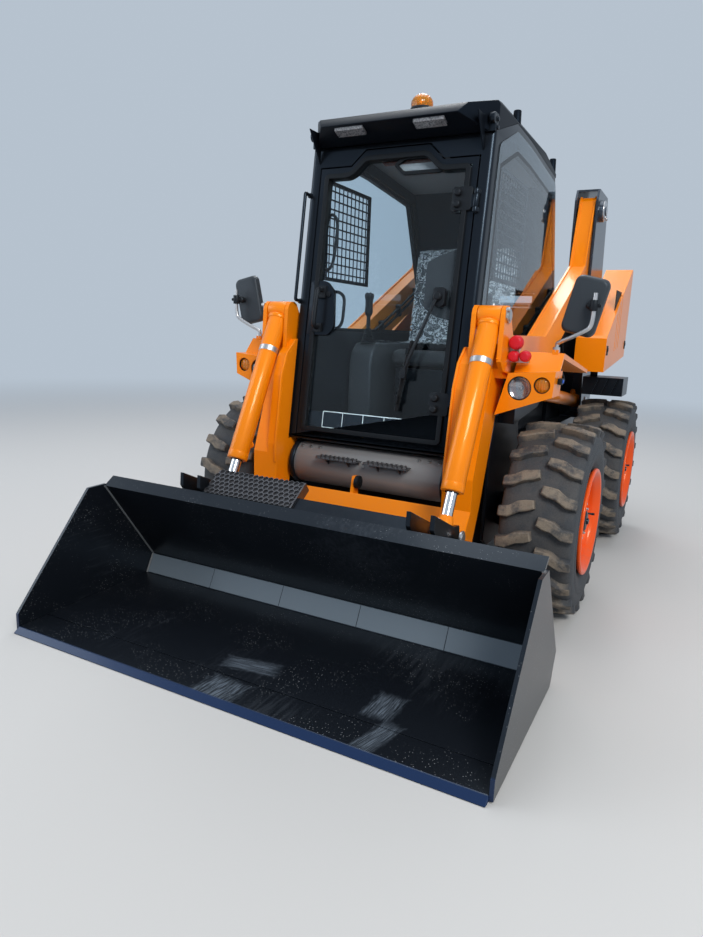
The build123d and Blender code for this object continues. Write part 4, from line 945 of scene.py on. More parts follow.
LOWER_LOOP = [(-0.29, 1.304), (-0.262, 1.306), (-0.232, 1.306), (-0.204, 1.284), (-0.203, 1.23),
              (-0.203, 1.176), (-0.222, 1.15), (-0.25, 1.15), (-0.29, 1.152)]
for loop in (UPPER_LOOP, LOWER_LOOP):
    pipe(mesh, [(x, 0.05, z) for x, z in loop], 0.007)
for x, z in ((-0.334, 1.6), (-0.334, 1.44), (-0.287, 1.304), (-0.287, 1.152)):
    bar(mesh, (x, 0.014, z), (x, 0.056, z), 0.009, 16)
on_door("inner_pull_loops", mesh, PLASTIC)
mesh = bmesh.new()
plate(mesh, box_outline(0.236, 0.286, 1.24, 1.312), -0.034, -0.002, 0.014)
profile = [(0.0, 0.017), (-0.014, 0.017), (-0.02, 0.012), (-0.02, 0.0)]
lathe(mesh, profile, (0.261, -0.034, 1.276), BACKWARD, 24)
bar(mesh, (0.261, -0.046, 1.276), (0.15, -0.05, 0.968), 0.0055, 12)
bar(mesh, (0.248, -0.04, 1.262), (0.16, -0.046, 1.02), 0.0035, 10)
block(mesh, (0.14, -0.056, 0.95), (0.164, -0.04, 0.984))
soften(mesh, 0.002, 2)
on_door("wiper_arm", mesh, PLASTIC)
mesh = bmesh.new()
BLADE_TOP, BLADE_LOW = vec(0.161, 0, 1.105), vec(0.122, 0, 0.82)
# Share of the blade's length where it starts and ends, depth, radius, sides
for start, end, depth, radius, sides in (
    (0.0, 1.0, -0.02, 0.0045, 10), (0.14, 0.86, -0.031, 0.0035, 10), (0.0, 1.0, -0.009, 0.0085, 4)
):
    ends = [BLADE_TOP.lerp(BLADE_LOW, share) + vec(0, depth, 0) for share in (start, end)]
    bar(mesh, *ends, radius, sides)
for share in (0.16, 0.5, 0.84):
    yoke = BLADE_TOP.lerp(BLADE_LOW, share)
    block(mesh, yoke - vec(0.007, 0.04, 0.014), yoke + vec(0.007, -0.016, 0.014))
soften(mesh, 0.0012, 1)
on_door("wiper_blade", mesh, SEAL)
print("door fittings done")

# %% [markdown]
# The tilt and lift cylinders are plain tubes in orange paint. What makes them look real is small: the gland
# with its wiper ring where the rod comes out, the hose ports, a plated band round each tilt cylinder, the
# weld at its base, the grease nipples, and the pins with their keeper plates. They are made on the left, in
# the cylinder's own line, and mirrored.

# %% Tilt and lift cylinders
TILT_TOP, TILT_FOOT = vec(0.48, -0.6615, 1.213), vec(0.48, -1.0425, 0.443)
LIFT_BASE, LIFT_EYE = vec(0.49, 1.2515, 0.75), vec(0.49, -0.0485, 0.895)


def cylinder_dress(name, base, end, tube, rod, length, rod_start, band_at):
    """Everything along a cylinder from its base eye to its rod eye; tube and rod are radii."""
    way = (end - base).normalized()
    mouth = base + way * length
    side = way.cross(Vector(SIDEWAYS)).normalized()
    side *= math.copysign(1, side.y)
    for label in ("left", "right"):
        def add(part, mesh, look, rides, replaces=(), smooth=35):
            if label == "right":
                flip(mesh, mesh.verts, mesh.faces)
            piece(f"{name}_{part}_{label}", mesh, look, f"{name}_{rides}_{label}", replaces, smooth)

        mesh = bmesh.new()
        gland = [(-0.03, tube), (-0.029, tube + 0.001), (-0.003, tube + 0.001), (0.0, tube - 0.001),
                 (0.002, tube - 0.006), (0.002, rod + 0.0045)]
        collar = [(0.03, tube - 0.004), (0.033, tube + 0.003), (0.04, tube + 0.004), (0.047, tube + 0.003),
                  (0.05, tube)]
        lathe(mesh, gland, mouth, way, 48)
        lathe(mesh, collar, base, way, 48)
        for along in (0.085, length - 0.085):
            foot = base + way * along + side * (tube - 0.004)
            bar(mesh, foot, foot + side * 0.022, 0.017, 20)
            bar(mesh, foot + side * 0.022, foot + side * 0.034, 0.0135, 6)
        tidy(mesh)
        soften(mesh, 0.0008, 1, 50)
        add("gland_and_ports", mesh, ORANGE, "barrel")
        mesh = bmesh.new()
        ring = [(0.002, rod + 0.0045), (0.005, rod + 0.0042), (0.0055, rod + 0.0007), (0.0, rod + 0.0005)]
        lathe(mesh, ring, mouth, way, 40)
        add("wiper_ring", mesh, SEAL, "barrel")
        mesh = bmesh.new()
        if band_at:
            band = [(-0.012, tube), (-0.011, tube + 0.0018), (0.011, tube + 0.0018), (0.012, tube)]
            lathe(mesh, band, base + way * band_at, way, 48)
        nipple = base - way * 0.038
        bar(mesh, nipple + way * 0.004, nipple - way * 0.006, 0.0045, 6)
        bar(mesh, nipple - way * 0.006, nipple - way * 0.012, 0.0026, 8)
        tidy(mesh)
        add("band_and_nipple", mesh, ZINC, "barrel")
        mesh = bmesh.new()
        eye = [(-0.07, rod), (-0.064, rod + 0.004), (-0.042, rod + 0.009), (-0.03, rod + 0.011)]
        lathe(mesh, eye, end, way, 40)
        stud(mesh, end - vec(0.0262, 0, 0), 0.0524, 0.0385, 40)
        soften(mesh, 0.002, 2, 50)
        add("rod_eye", mesh, ORANGE, "rod")
        mesh = bmesh.new()
        bar(mesh, base + way * rod_start, end - way * 0.03, rod, 64)
        stud(mesh, end - vec(0.029, 0, 0), 0.058, 0.02, 40)
        add("chrome_rod", mesh, CHROME, "rod", (f"{name}_rod_{label}",), 50)


cylinder_dress("tilt", TILT_TOP, TILT_FOOT, 0.042, 0.021, 0.7, 0.19, 0.196)
cylinder_dress("lift", LIFT_BASE, LIFT_EYE, 0.038, 0.0225, 1.212, 0.1, 0)

# Pin heads on the outer side of the boom's ears and the hitch's: name, body, place, way to the keeper's bolt
KEEPERS = (
    ("tilt_top_keepers", "boom", TILT_TOP + vec(0.065, 0, 0), vec(0, -0.03, 0.022)),
    ("tilt_foot_keepers", "bucket", vec(0.547, -1.0425, 0.443), vec(0, 0.024, -0.026)),
    ("lift_eye_keepers", "boom", LIFT_EYE + vec(0.045, 0, 0), vec(0, 0.03, 0.02)),
)
for name, body, head, to_bolt in KEEPERS:
    mesh = bmesh.new()
    stud(mesh, head, 0.008, 0.027, 32)
    stud(mesh, head + vec(0.008, 0, 0), 0.003, 0.02, 32)
    middle = head + to_bolt / 2
    block(mesh, middle - vec(0, 0.02, 0.02), middle + vec(0.005, 0.02, 0.02))
    stud(mesh, head + to_bolt, 0.014, 0.0085)
    soften(mesh, 0.0012, 1)
    piece(name, mesh, ZINC, body, pair=True)
print("cylinders dressed")

# %% [markdown]
# The lamp boxes carry a round headlamp and a round amber indicator, both set deep. Behind the clear
# lens is a bright reflector with its bulb. The CAD discs are replaced by these curved ones. A small
# connector with its blue clip hangs at the box's outer end. Red tail lamps sit in the side boxes. On the roof
# stands a beacon: a black foot, and an amber dome with a bright core that catches the light.

# %% Lamps and beacon
HEADLAMP, INDICATOR, TAIL = vec(0.606, -0.6485, 0.946), vec(0.69, -0.6485, 0.962), vec(0.655, 1.5715, 1.24)
BEACON = vec(0, -0.3185, 2.07)
DOME = [(0.0142, 0.0455), (0.026, 0.048), (0.038, 0.047), (0.05, 0.041), (0.06, 0.031), (0.067, 0.018),
        (0.07, 0.0)]
DOME_WALL = 0.003
INNER_DOME = [(height - DOME_WALL, max(0.0, radius - DOME_WALL)) for height, radius in reversed(DOME)]
# Name, lathe shapes, finish, nodes it stands for, smooth angle
LAMP_PARTS = (
    ("headlamp_reflectors", [([(0.0235, 0.0), (0.0228, 0.012), (0.02, 0.026), (0.015, 0.037),
                               (0.0105, 0.0435)], HEADLAMP, BACKWARD, 48)], REFLECTOR, ("headlamps",), 60),
    ("headlamp_bulbs", [([(0.0235, 0.0075), (0.012, 0.0075), (0.009, 0.006), (0.0085, 0.0)],
                         HEADLAMP, BACKWARD, 24)], LED_FACE, (), 35),
    ("headlamp_lenses", [([(0.0035, 0.0), (0.0045, 0.02), (0.0075, 0.036), (0.01, 0.0435), (0.0112, 0.0432),
                           (0.0088, 0.036), (0.006, 0.02), (0.005, 0.0)], HEADLAMP, BACKWARD, 48)],
     LENS, (), 60),
    ("lamp_bezels", [([(0.0238, 0.0455), (0.006, 0.0455), (0.0045, 0.0448), (0.005, 0.0425), (0.011, 0.042)],
                      HEADLAMP, BACKWARD, 48),
                     ([(0.0238, 0.0305), (0.006, 0.0305), (0.0045, 0.0298), (0.005, 0.028), (0.011, 0.0275)],
                      INDICATOR, BACKWARD, 40)], SEAL, (), 50),
    ("indicator_lenses", [([(0.0045, 0.0), (0.0055, 0.012), (0.0085, 0.022), (0.012, 0.028), (0.0235, 0.0282),
                            (0.0235, 0.0)], INDICATOR, BACKWARD, 40)], AMBER, ("indicators",), 50),
    ("tail_lamp_bezels", [([(0.0, 0.03), (0.0, 0.0365), (0.012, 0.0365), (0.016, 0.034), (0.016, 0.03)],
                           TAIL, BACKWARD, 40)], SEAL, (), 50),
    ("tail_lamp_lenses", [([(0.0, 0.0), (0.0, 0.03), (0.013, 0.03), (0.0145, 0.022), (0.013, 0.02),
                            (0.015, 0.012), (0.0135, 0.01), (0.0155, 0.0)], TAIL, BACKWARD, 40)],
     TAIL_RED, ("tail_lamps",), 40),
    ("beacon_foot", [([(-0.004, 0.0), (-0.004, 0.052), (0.006, 0.052), (0.011, 0.049), (0.014, 0.047),
                       (0.014, 0.0)], BEACON, UP, 48)], PLASTIC, ("beacon",), 50),
    ("beacon_dome", [(DOME + INNER_DOME, BEACON, UP, 48)], AMBER, (), 60),
    ("beacon_core", [([(0.0142, 0.0), (0.0142, 0.018), (0.02, 0.018), (0.045, 0.013), (0.05, 0.0)],
                      BEACON, UP, 24)], REFLECTOR, (), 35),
)
for name, shapes, look, replaces, smooth in LAMP_PARTS:
    piece(name, turned(*shapes), look, "chassis", replaces, smooth, pair=not name.startswith("beacon"))
mesh = bmesh.new()
block(mesh, (0.737, -0.6, 0.966), (0.752, -0.566, 0.99))
block(mesh, (0.741, -0.566, 0.97), (0.75, -0.548, 0.986))
soften(mesh, 0.002, 2)
piece("lamp_connectors", mesh, PLASTIC, pair=True)
mesh = bmesh.new()
block(mesh, (0.7525, -0.592, 0.972), (0.756, -0.574, 0.984))
soften(mesh, 0.001, 2)
piece("connector_clips", mesh, CLIP_BLUE, pair=True)
mesh = bmesh.new()
pipe(mesh, [(0.745, -0.55, 0.978), (0.746, -0.53, 0.977), (0.742, -0.505, 0.985), (0.728, -0.49, 1.01),
            (0.716, -0.486, 1.035)], 0.004)
piece("lamp_leads", mesh, SEAL, pair=True)
print("lamps done")

# %% [markdown]
# Each mirror hangs on a bent tube of bright steel. A black ball clamp holds the head, whose back is a
# grained shell with generous corners. The glass faces the driver.

# %% Mirrors
LEAN = Matrix.Translation((0.787, -0.4725, 1.262)) @ Matrix.Rotation(math.radians(13), 4, "Y")
mesh = bmesh.new()
plate(mesh, box_outline(-0.068, 0.068, -0.113, 0.113), -0.02, 0.014, 0.03, segments=6)
bmesh.ops.scale(mesh, vec=(0.9, 1, 0.93), verts=[v for v in mesh.verts if v.co.y < 0])
soften(mesh, 0.01, 4)
move(mesh, LEAN)
piece("mirror_shells", mesh, MIRROR_PLASTIC, "chassis", ("mirrors",), 50, pair=True)
mesh = bmesh.new()
plate(mesh, box_outline(-0.062, 0.062, -0.107, 0.107), 0.012, 0.015, 0.026, segments=6)
move(mesh, LEAN)
piece("mirror_glass", mesh, MIRROR, pair=True)
mesh = bmesh.new()
pipe(mesh, [(0.702, -0.5085, 1.06), (0.702, -0.5085, 1.092), (0.702, -0.5085, 1.116), (0.712, -0.513, 1.124),
            (0.757, -0.523, 1.144), (0.806, -0.5275, 1.17), (0.822, -0.5285, 1.182), (0.827, -0.5285, 1.205),
            (0.829, -0.5285, 1.24), (0.829, -0.5285, 1.308)], 0.008, 12)
bar(mesh, (0.702, -0.5085, 1.086), (0.702, -0.5085, 1.104), 0.0145, 6)
piece("mirror_stalks", mesh, ZINC, smooth=60, pair=True)
mesh = bmesh.new()
CLAMP = vec(0.828, -0.5285, 1.262)
bar(mesh, CLAMP - vec(0, 0, 0.02), CLAMP + vec(0, 0, 0.02), 0.0155, 24)
ball = Matrix.Translation((0.812, -0.5085, 1.262))
bmesh.ops.create_uvsphere(mesh, u_segments=24, v_segments=12, radius=0.016, matrix=ball)
bar(mesh, CLAMP, (0.8, -0.494, 1.262), 0.01, 20)
stud(mesh, CLAMP + vec(0.014, 0, 0), 0.012, 0.0075)
soften(mesh, 0.0015, 2, 50)
piece("mirror_clamps", mesh, PLASTIC, pair=True)
print("mirrors done")

# %% [markdown]
# The seat is the one soft thing in the cab. Its cushion and its back each start as a plain block, a little
# smaller than the real pad. A short cloth simulation blows them up as foam does under its cover, and
# the seams are pressed in after it. A thin clear film, as on any new seat, hangs over the back.

# %% Seat
VOXEL, PRESSURE, LAST_FRAME, PAD_CAP = 0.006, 4.0, 20, 0.008


def as_shown(holder):
    """The object's shape with its modifiers, as a new mesh."""
    return bpy.data.meshes.new_from_object(holder.evaluated_get(bpy.context.evaluated_depsgraph_get()))


def puffed(mesh):
    """The form after a short cloth simulation under pressure, with no point moved further than the cap."""
    data = bpy.data.meshes.new("pad")
    mesh.to_mesh(data)
    mesh.free()
    pad = bpy.data.objects.new("pad", data)
    scene.collection.objects.link(pad)
    fine = pad.modifiers.new("fine", "REMESH")
    fine.mode = "VOXEL"
    fine.voxel_size = VOXEL
    pad.data = as_shown(pad)
    pad.modifiers.clear()
    before = [v.co.copy() for v in pad.data.vertices]
    cloth = pad.modifiers.new("cloth", "CLOTH").settings
    cloth.use_pressure = True
    cloth.uniform_pressure_force = PRESSURE
    cloth.effector_weights.gravity = 0
    for number in range(1, LAST_FRAME + 1):
        scene.frame_set(number)
    pad.data = as_shown(pad)
    pad.modifiers.clear()
    scene.frame_set(1)
    result = bmesh.new()
    result.from_mesh(pad.data)
    bpy.data.objects.remove(pad)
    for vert, start in zip(result.verts, before):
        moved = vert.co - start
        if moved.length > PAD_CAP:
            vert.co = start + moved * (PAD_CAP / moved.length)
    return result


def press_seams(mesh, seams, depth=0.0045, width=0.006):
    """Press lines into a pad, where each seam is a function that gives a point's distance from it."""
    mesh.normal_update()
    depths = [sum(math.exp(-((seam(vert.co) / width) ** 2)) for seam in seams) * depth for vert in mesh.verts]
    for vert, deep in zip(mesh.verts, depths):
        vert.co -= vert.normal * deep


mesh = bmesh.new()
prism(mesh, [(-0.066, 0.975), (-0.066, 1.046), (0.285, 1.031), (0.296, 0.975)], -0.213, 0.213)
soften(mesh, 0.022, 3)
mesh = puffed(mesh)
press_seams(mesh, [lambda p: abs(p.x) - 0.14, lambda p: p.y - 0.235])
for vert in mesh.verts:
    vert.co.z = max(0.9612, vert.co.z)
piece("seat_cushion", mesh, VINYL, "chassis", ("seat",), 60)
mesh = bmesh.new()
outline = mirrored([(0.18, 1.036), (0.204, 1.2), (0.206, 1.42), (0.196, 1.545)])
plate(mesh, outline, 0.0, 0.08, 0.055, segments=6)
soften(mesh, 0.024, 3)
for vert in mesh.verts:
    vert.co.y += 0.3015 + 0.1346 * (vert.co.z - 1.04)
mesh = puffed(mesh)
press_seams(mesh, [lambda p: abs(p.x) - 0.13, lambda p: p.z - 1.33])
piece("seat_back", mesh, VINYL, smooth=60)

# The film's line from behind the back, over its top and down in front: y, z
FILM_LINE = [
    vec(0.478, 1.33), vec(0.484, 1.46), vec(0.476, 1.545), vec(0.44, 1.572), vec(0.395, 1.574),
    vec(0.35, 1.562), vec(0.334, 1.5), vec(0.318, 1.4), vec(0.3, 1.3), vec(0.284, 1.2), vec(0.268, 1.11),
    vec(0.235, 1.078), vec(0.16, 1.072), vec(0.08, 1.078),
]
FILM_WIDTH = 0.5
mesh = bmesh.new()
bmesh.ops.create_grid(mesh, x_segments=100, y_segments=len(FILM_LINE) * 14, size=0.5)
# Three sizes of folds, from long ones to fine creases, push each point out from the line
for vert in mesh.verts:
    share = (vert.co.y + 0.5) * (len(FILM_LINE) - 1)
    first = min(int(share), len(FILM_LINE) - 2)
    low, high = FILM_LINE[first:first + 2]
    along = low.lerp(high, share - first)
    across = vert.co.x * FILM_WIDTH
    fold = noise.noise(vec(across * 18, share * 0.9, 4.2))
    fold += 0.8 - 1.6 * abs(noise.noise(vec(across * 42, share * 2.4, 1.1)))
    fold += 0.3 - 0.6 * abs(noise.noise(vec(across * 90, share * 5.5, 7.7)))
    side = (high - low).normalized()
    droop = 0.1 * max(0.0, abs(across) - 0.2) if share > 3 else 0.0
    out = 0.009 + 0.006 * fold
    vert.co = (across, along.x + side.y * out, along.y - side.x * out - droop)
bmesh.ops.recalc_face_normals(mesh, faces=mesh.faces)
film_area = sum(f.calc_area() for f in mesh.faces)
film = piece("seat_film", mesh, FILM, smooth=180)
film.modifiers.new("skin", "SOLIDIFY").thickness = 0.0004
print("seat done; film area:", round(film_area, 3))

# %% [markdown]
# Beside the seat stand two consoles with a joystick on each: a grip with three buttons over rubber
# bellows. The floor has a ribbed mat, and a pale liner closes the roof from below.

# %% Cab interior
STICK = vec(0.3, -0.1485, 1.08)
FOLDS, FOLD, MAT_RIBS = 7, 0.01, 22
mesh = bmesh.new()
prism(mesh, [(-0.2185, 0.676), (-0.2185, 0.96), (-0.2, 1.035), (-0.15, 1.079), (0.29, 1.079), (0.3815, 1.02),
             (0.3815, 0.676)], 0.241, 0.368)
soften(mesh, 0.014, 3)
piece("console_shells", mesh, GREY_PLASTIC, "chassis", ("consoles",), 45, pair=True)
mesh = bmesh.new()
block(mesh, (0.262, -0.06, 1.077), (0.35, 0.13, 1.083))
for y in (-0.04, 0.016, 0.072):
    for x in (0.28, 0.32):
        block(mesh, (x, y, 1.083), (x + 0.018, y + 0.032, 1.089))
soften(mesh, 0.0015, 2)
piece("switch_panels", mesh, PLASTIC, pair=True)
bellows = [(0.0, 0.0), (0.0, 0.037)]
for fold in range(FOLDS):
    bellows += [(FOLD * fold + 0.004, 0.037 - 0.003 * fold), (FOLD * (fold + 1), 0.029 - 0.003 * fold)]
piece("joystick_bellows", turned((bellows + [(0.074, 0.0)], STICK, UP, 32)), SEAL, smooth=50, pair=True)
mesh = turned(([(0.07, 0.0), (0.07, 0.0095), (0.128, 0.01), (0.134, 0.016), (0.148, 0.0205), (0.18, 0.0185),
                (0.205, 0.019), (0.218, 0.0225), (0.232, 0.0235), (0.239, 0.019), (0.2405, 0.0)],
               STICK, UP, 32))
for x, y in ((-0.009, -0.006), (0.009, -0.006), (0.0, 0.008)):
    bar(mesh, STICK + vec(x, y, 0.238), STICK + vec(x, y, 0.243), 0.0045, 16)
piece("joystick_grips", mesh, PLASTIC, "chassis", ("joysticks",), 50, pair=True)
mesh = bmesh.new()
block(mesh, (-0.235, -0.6, 0.6752), (0.235, -0.06, 0.68))
for rib in range(MAT_RIBS):
    x = -0.226 + rib * 0.0212
    block(mesh, (x, -0.59, 0.679), (x + 0.008, -0.07, 0.684))
soften(mesh, 0.0015, 1)
piece("floor_mat", mesh, SEAL)
mesh = bmesh.new()
prism(mesh, [(-0.225, 1.957), (-0.0185, 1.95), (0.49, 1.906), (0.49, 1.898), (-0.0185, 1.942),
             (-0.225, 1.949)], -0.366, 0.366)
soften(mesh, 0.002, 2)
piece("cab_roof_liner", mesh, ROOF_LINER)
print("interior done")

# %% [markdown]
# Side and rear windows sit in rubber, like the door's. Each side also wears one large pane, glued on from
# outside, which hides most of the frame behind a clean, glossy face. Two bolted brackets carry the visor, and
# a bent grab bar stands beside the door. The side windows' steel grids come from the CAD model.

# %% Windows, visor brackets and grab bar
SIDE_WINDOW = [(-0.5235, 1.13), (0.6965, 1.13), (0.6965, 1.4), (0.4815, 1.848), (-0.0185, 1.893),
               (-0.2285, 1.9), (-0.4585, 1.8)]
PANE = [(-0.6, 1.0), (0.735, 1.0), (0.735, 1.4), (0.52, 1.92), (-0.02, 1.966), (-0.243, 1.973), (-0.48, 1.87)]
mesh = bmesh.new()
plate(mesh, SIDE_WINDOW, 0.383, 0.4075, 0.018, 0.016)
soften(mesh, 0.005, 3)
move(mesh, TO_SIDE)
bmesh.ops.reverse_faces(mesh, faces=mesh.faces)
piece("side_window_seals", mesh, SEAL, pair=True)
mesh = bmesh.new()
plate(mesh, PANE, 0.4058, 0.4088, 0.022)
soften(mesh, 0.0008, 1)
move(mesh, TO_SIDE)
bmesh.ops.recalc_face_normals(mesh, faces=mesh.faces)
piece("glued_side_panes", mesh, GLASS, "chassis", ("side_glass",), pair=True)
mesh = bmesh.new()
plate(mesh, box_outline(-0.3, 0.3, 1.13, 1.38), 0.733, 0.759, 0.018, 0.014)
soften(mesh, 0.005, 3)
piece("rear_window_seal", mesh, SEAL)
mesh = bmesh.new()
block(mesh, (0.366, -0.545, 1.9), (0.404, -0.505, 1.965))
stud(mesh, (0.384, -0.55, 1.945), 0.02, 0.02, 24)
for height in (1.915, 1.945):
    stud(mesh, (0.4, -0.525, height), 0.011, 0.0095)
    stud(mesh, (0.4, -0.525, height), 0.006, 0.013, 20)
soften(mesh, 0.002, 2)
piece("visor_brackets", mesh, BLACK, pair=True)
mesh = bmesh.new()
low, high = vec(-0.399, -0.6295, 1.255), vec(-0.399, -0.5665, 1.705)
away = vec(0, -1, DOOR_LEAN).normalized() * 0.04
bend = (high - low).normalized() * 0.022
pipe(mesh, [low, low + away * 0.7, low + away, low + away + bend, high + away - bend, high + away,
            high + away * 0.7, high], 0.0075, 12)
for foot in (low, high):
    bar(mesh, foot, foot + away * 0.08, 0.0115, 20)
piece("bent_grab_bar", mesh, BLACK, "chassis", ("grab_bar",), 60)
print("windows done")

# %% [markdown]
# The quick couplers of the auxiliary hydraulics wear red rubber caps. Two black hoses run up the inner
# side of each arm, in clamps. The pivot pins have a keeper with two bolts on each tower.

# %% Caps, hoses and tower bolts
PIVOT = vec(0.577, 1.0815, 1.865)
HOSE_LINE = [(0.0, 1.055), (0.2, 1.128), (0.4, 1.216), (0.6, 1.306), (0.78, 1.392)]
mesh = bmesh.new()
for x, z, radius in ((0.5725, 1.116, 0.0265), (0.5675, 1.064, 0.021), (0.611, 1.066, 0.021)):
    profile = [(0.0, 0.0), (0.0, radius), (-0.005, radius + 0.0015), (-0.009, radius),
               (-0.026, radius - 0.001), (-0.031, radius - 0.004), (-0.033, radius - 0.01), (-0.033, 0.0)]
    lathe(mesh, profile, (x, -0.606, z), BACKWARD, 32)
    tidy(mesh)
piece("coupler_caps", mesh, RED_CAP, "boom", smooth=50)
mesh = bmesh.new()
for lift in (-0.018, 0.018):
    pipe(mesh, [(0.429, y, z + lift) for y, z in HOSE_LINE], 0.0075, 12)
piece("arm_hoses", mesh, SEAL, "boom", smooth=60, pair=True)
mesh = bmesh.new()
for y, z in ((0.03, 1.064), (0.28, 1.162), (0.5, 1.261), (0.74, 1.373)):
    verts = block(mesh, (0.4195, y - 0.012, z - 0.034), (0.4455, y + 0.012, z + 0.034))
    bmesh.ops.rotate(mesh, verts=verts, cent=(0.43, y, z), matrix=Matrix.Rotation(math.radians(22), 3, "X"))
    stud(mesh, (0.415, y, z), 0.0045, 0.006)
soften(mesh, 0.003, 2)
piece("hose_clamps", mesh, PLASTIC, "boom", pair=True)
mesh = bmesh.new()
lathe(mesh, [(-0.002, 0.0), (-0.002, 0.058), (0.003, 0.058), (0.005, 0.055), (0.005, 0.0)], PIVOT, steps=48)
lathe(mesh, [(0.01, 0.0), (0.01, 0.0255), (0.014, 0.0225), (0.014, 0.0)], PIVOT, SIDEWAYS, 32)
tidy(mesh)
block(mesh, PIVOT + vec(0.004, -0.045, -0.052), PIVOT + vec(0.009, 0.045, -0.028))
for along in (-0.03, 0.03):
    stud(mesh, PIVOT + vec(0.009, along, -0.04), 0.008, 0.0085)
soften(mesh, 0.0012, 1, 40)
piece("pivot_keepers", mesh, ZINC, pair=True)
mesh = bmesh.new()
for y, z in ((1.17, 0.7), (1.26, 0.7), (1.35, 0.7), (1.41, 0.85), (1.41, 1.0), (1.41, 1.15)):
    stud(mesh, (0.555, y, z), 0.003, 0.015, 20)
    stud(mesh, (0.558, y, z), 0.009, 0.011)
stud(mesh, (0.555, 1.2515, 0.75), 0.006, 0.03, 32)
soften(mesh, 0.0012, 1)
piece("tower_bolts", mesh, ZINC, pair=True)
print("boom and towers dressed")

# %% [markdown]
# Steps on these machines are punched plates that grip a muddy boot. A helper lays hexagonal cells in rows,
# keeps their walls and gives them a depth. The same plate makes the two steps under the door and the
# longer one on the hitch.

# %% Grip steps
def honeycomb(mesh, columns, rows, size, wall, depth, matrix):
    """Rows of open six-sided cells, in the XY plane of a matrix, with walls of one width."""
    cells = bmesh.new()
    for row in range(rows):
        for number in range(columns):
            centre = ((number + 0.5 + row % 2 / 2) * size * math.sqrt(3), (1 + 1.5 * row) * size, 0)
            bmesh.ops.create_circle(
                cells, cap_ends=True, segments=6, radius=size, matrix=Matrix.Translation(centre)
            )
    bmesh.ops.remove_doubles(cells, verts=cells.verts, dist=size / 20)
    walls = set(bmesh.ops.inset_individual(cells, faces=cells.faces[:], thickness=wall / 2)["faces"])
    bmesh.ops.delete(cells, geom=[f for f in cells.faces if f not in walls], context="FACES_ONLY")
    top = bmesh.ops.extrude_face_region(cells, geom=cells.faces[:])["geom"]
    bmesh.ops.translate(cells, vec=(0, 0, depth), verts=only(bmesh.types.BMVert, top))
    bmesh.ops.recalc_face_normals(cells, faces=cells.faces)
    move(cells, matrix)
    data = bpy.data.meshes.new("cells")
    cells.to_mesh(data)
    cells.free()
    mesh.from_mesh(data)
    bpy.data.meshes.remove(data)


mesh = bmesh.new()
for low_x in (-0.213, 0.015):
    honeycomb(mesh, 8, 3, 0.0127, 0.0034, 0.007, Matrix.Translation((low_x, -0.7775, 0.596)))
    block(mesh, (low_x, -0.777, 0.593), (low_x + 0.198, -0.7215, 0.5965))
for start in (-0.1725, -0.0725, 0.0675, 0.1675):
    prism(mesh, [(-0.7215, 0.593), (-0.7655, 0.593), (-0.7215, 0.553)], start, start + 0.005)
bmesh.ops.recalc_face_normals(mesh, faces=mesh.faces)
piece("grip_steps", mesh, STEEL, "chassis", ("door_steps",))
# The hitch step stands on the bucket's sloping back
BUCKET_UP, BUCKET_OUT = vec(0, -0.5838, 0.8119), vec(0, 0.8119, 0.5838)
HITCH_STEP = vec(-0.4215, -1.0535, 0.113) + BUCKET_UP * 0.4311 + BUCKET_OUT * 0.064
turn = Matrix((SIDEWAYS, BUCKET_OUT, BUCKET_UP)).transposed().to_4x4()
mesh = bmesh.new()
block(mesh, (0, 0, -0.001), (0.4, 0.124, 0.004))
block(mesh, (0.396, 0, -0.03), (0.402, 0.124, 0.01))
move(mesh, Matrix.Translation(HITCH_STEP) @ turn)
honeycomb(mesh, 17, 6, 0.0132, 0.004, 0.009, Matrix.Translation(HITCH_STEP + BUCKET_UP * 0.002) @ turn)
piece("hitch_grip_step", mesh, STEEL, "bucket", ("hitch_step",))
print("steps done")

# %% [markdown]
# The round cross member under the door ends in dark flanges with bolts. A black roller sits in the middle of
# the boom's cross member. Each leg has a raised edge. Welds and a row of plates run inside the bucket; the
# plates' pale blue-grey is a painted reflection of the sky. The side boxes have latches, and a black sheet
# behind their slots is painted shade for their insides.

# %% Drum flanges, roller, leg edges, bucket and side boxes
DRUM_END, DRUM_RADIUS, FLANGE_BOLTS = vec(0.3465, -0.6425, 0.548), 0.0925, 12
mesh = turned(([(0.0, DRUM_RADIUS), (0.0, 0.101), (0.003, 0.103), (0.019, 0.103), (0.0225, 0.1),
                (0.0225, DRUM_RADIUS)], DRUM_END, SIDEWAYS, 64))
for number in range(FLANGE_BOLTS):
    angle = number * math.tau / FLANGE_BOLTS
    stud(mesh, DRUM_END + vec(0.0215, 0.08 * math.cos(angle), 0.08 * math.sin(angle)), 0.008, 0.0085)
soften(mesh, 0.0012, 1, 40)
piece("drum_flanges", mesh, BLACK, pair=True)
mesh = bmesh.new()
for x, angle, size in ((0.236, 55, 0.0075), (0.282, 55, 0.0075), (0.326, 55, 0.0075), (0.022, 22, 0.0045),
                       (0.0, 16, 0.0045)):
    way = vec(0, -math.cos(math.radians(angle)), math.sin(math.radians(angle)))
    foot = vec(x, DRUM_END.y, DRUM_END.z) + way * DRUM_RADIUS
    bar(mesh, foot, foot + way * 0.005, size, 6)
soften(mesh, 0.0008, 1)
piece("drum_bolts", mesh, ZINC, pair=True)
mesh = turned(([(-0.0035, 0.0), (-0.0035, 0.024), (-0.002, 0.0275), (0.0135, 0.0275), (0.015, 0.024),
                (0.015, 0.0)], (0, -0.7885, 0.52), SIDEWAYS, 40))
stud(mesh, (0.015, -0.7885, 0.52), 0.006, 0.01)
piece("stop_roller", mesh, SEAL, "boom", smooth=50)
LEG_FRONT = [(-0.8165, 0.56), (-0.8175, 0.64), (-0.7765, 0.935), (-0.7385, 1.03), (-0.67, 1.089)]
mesh = bmesh.new()
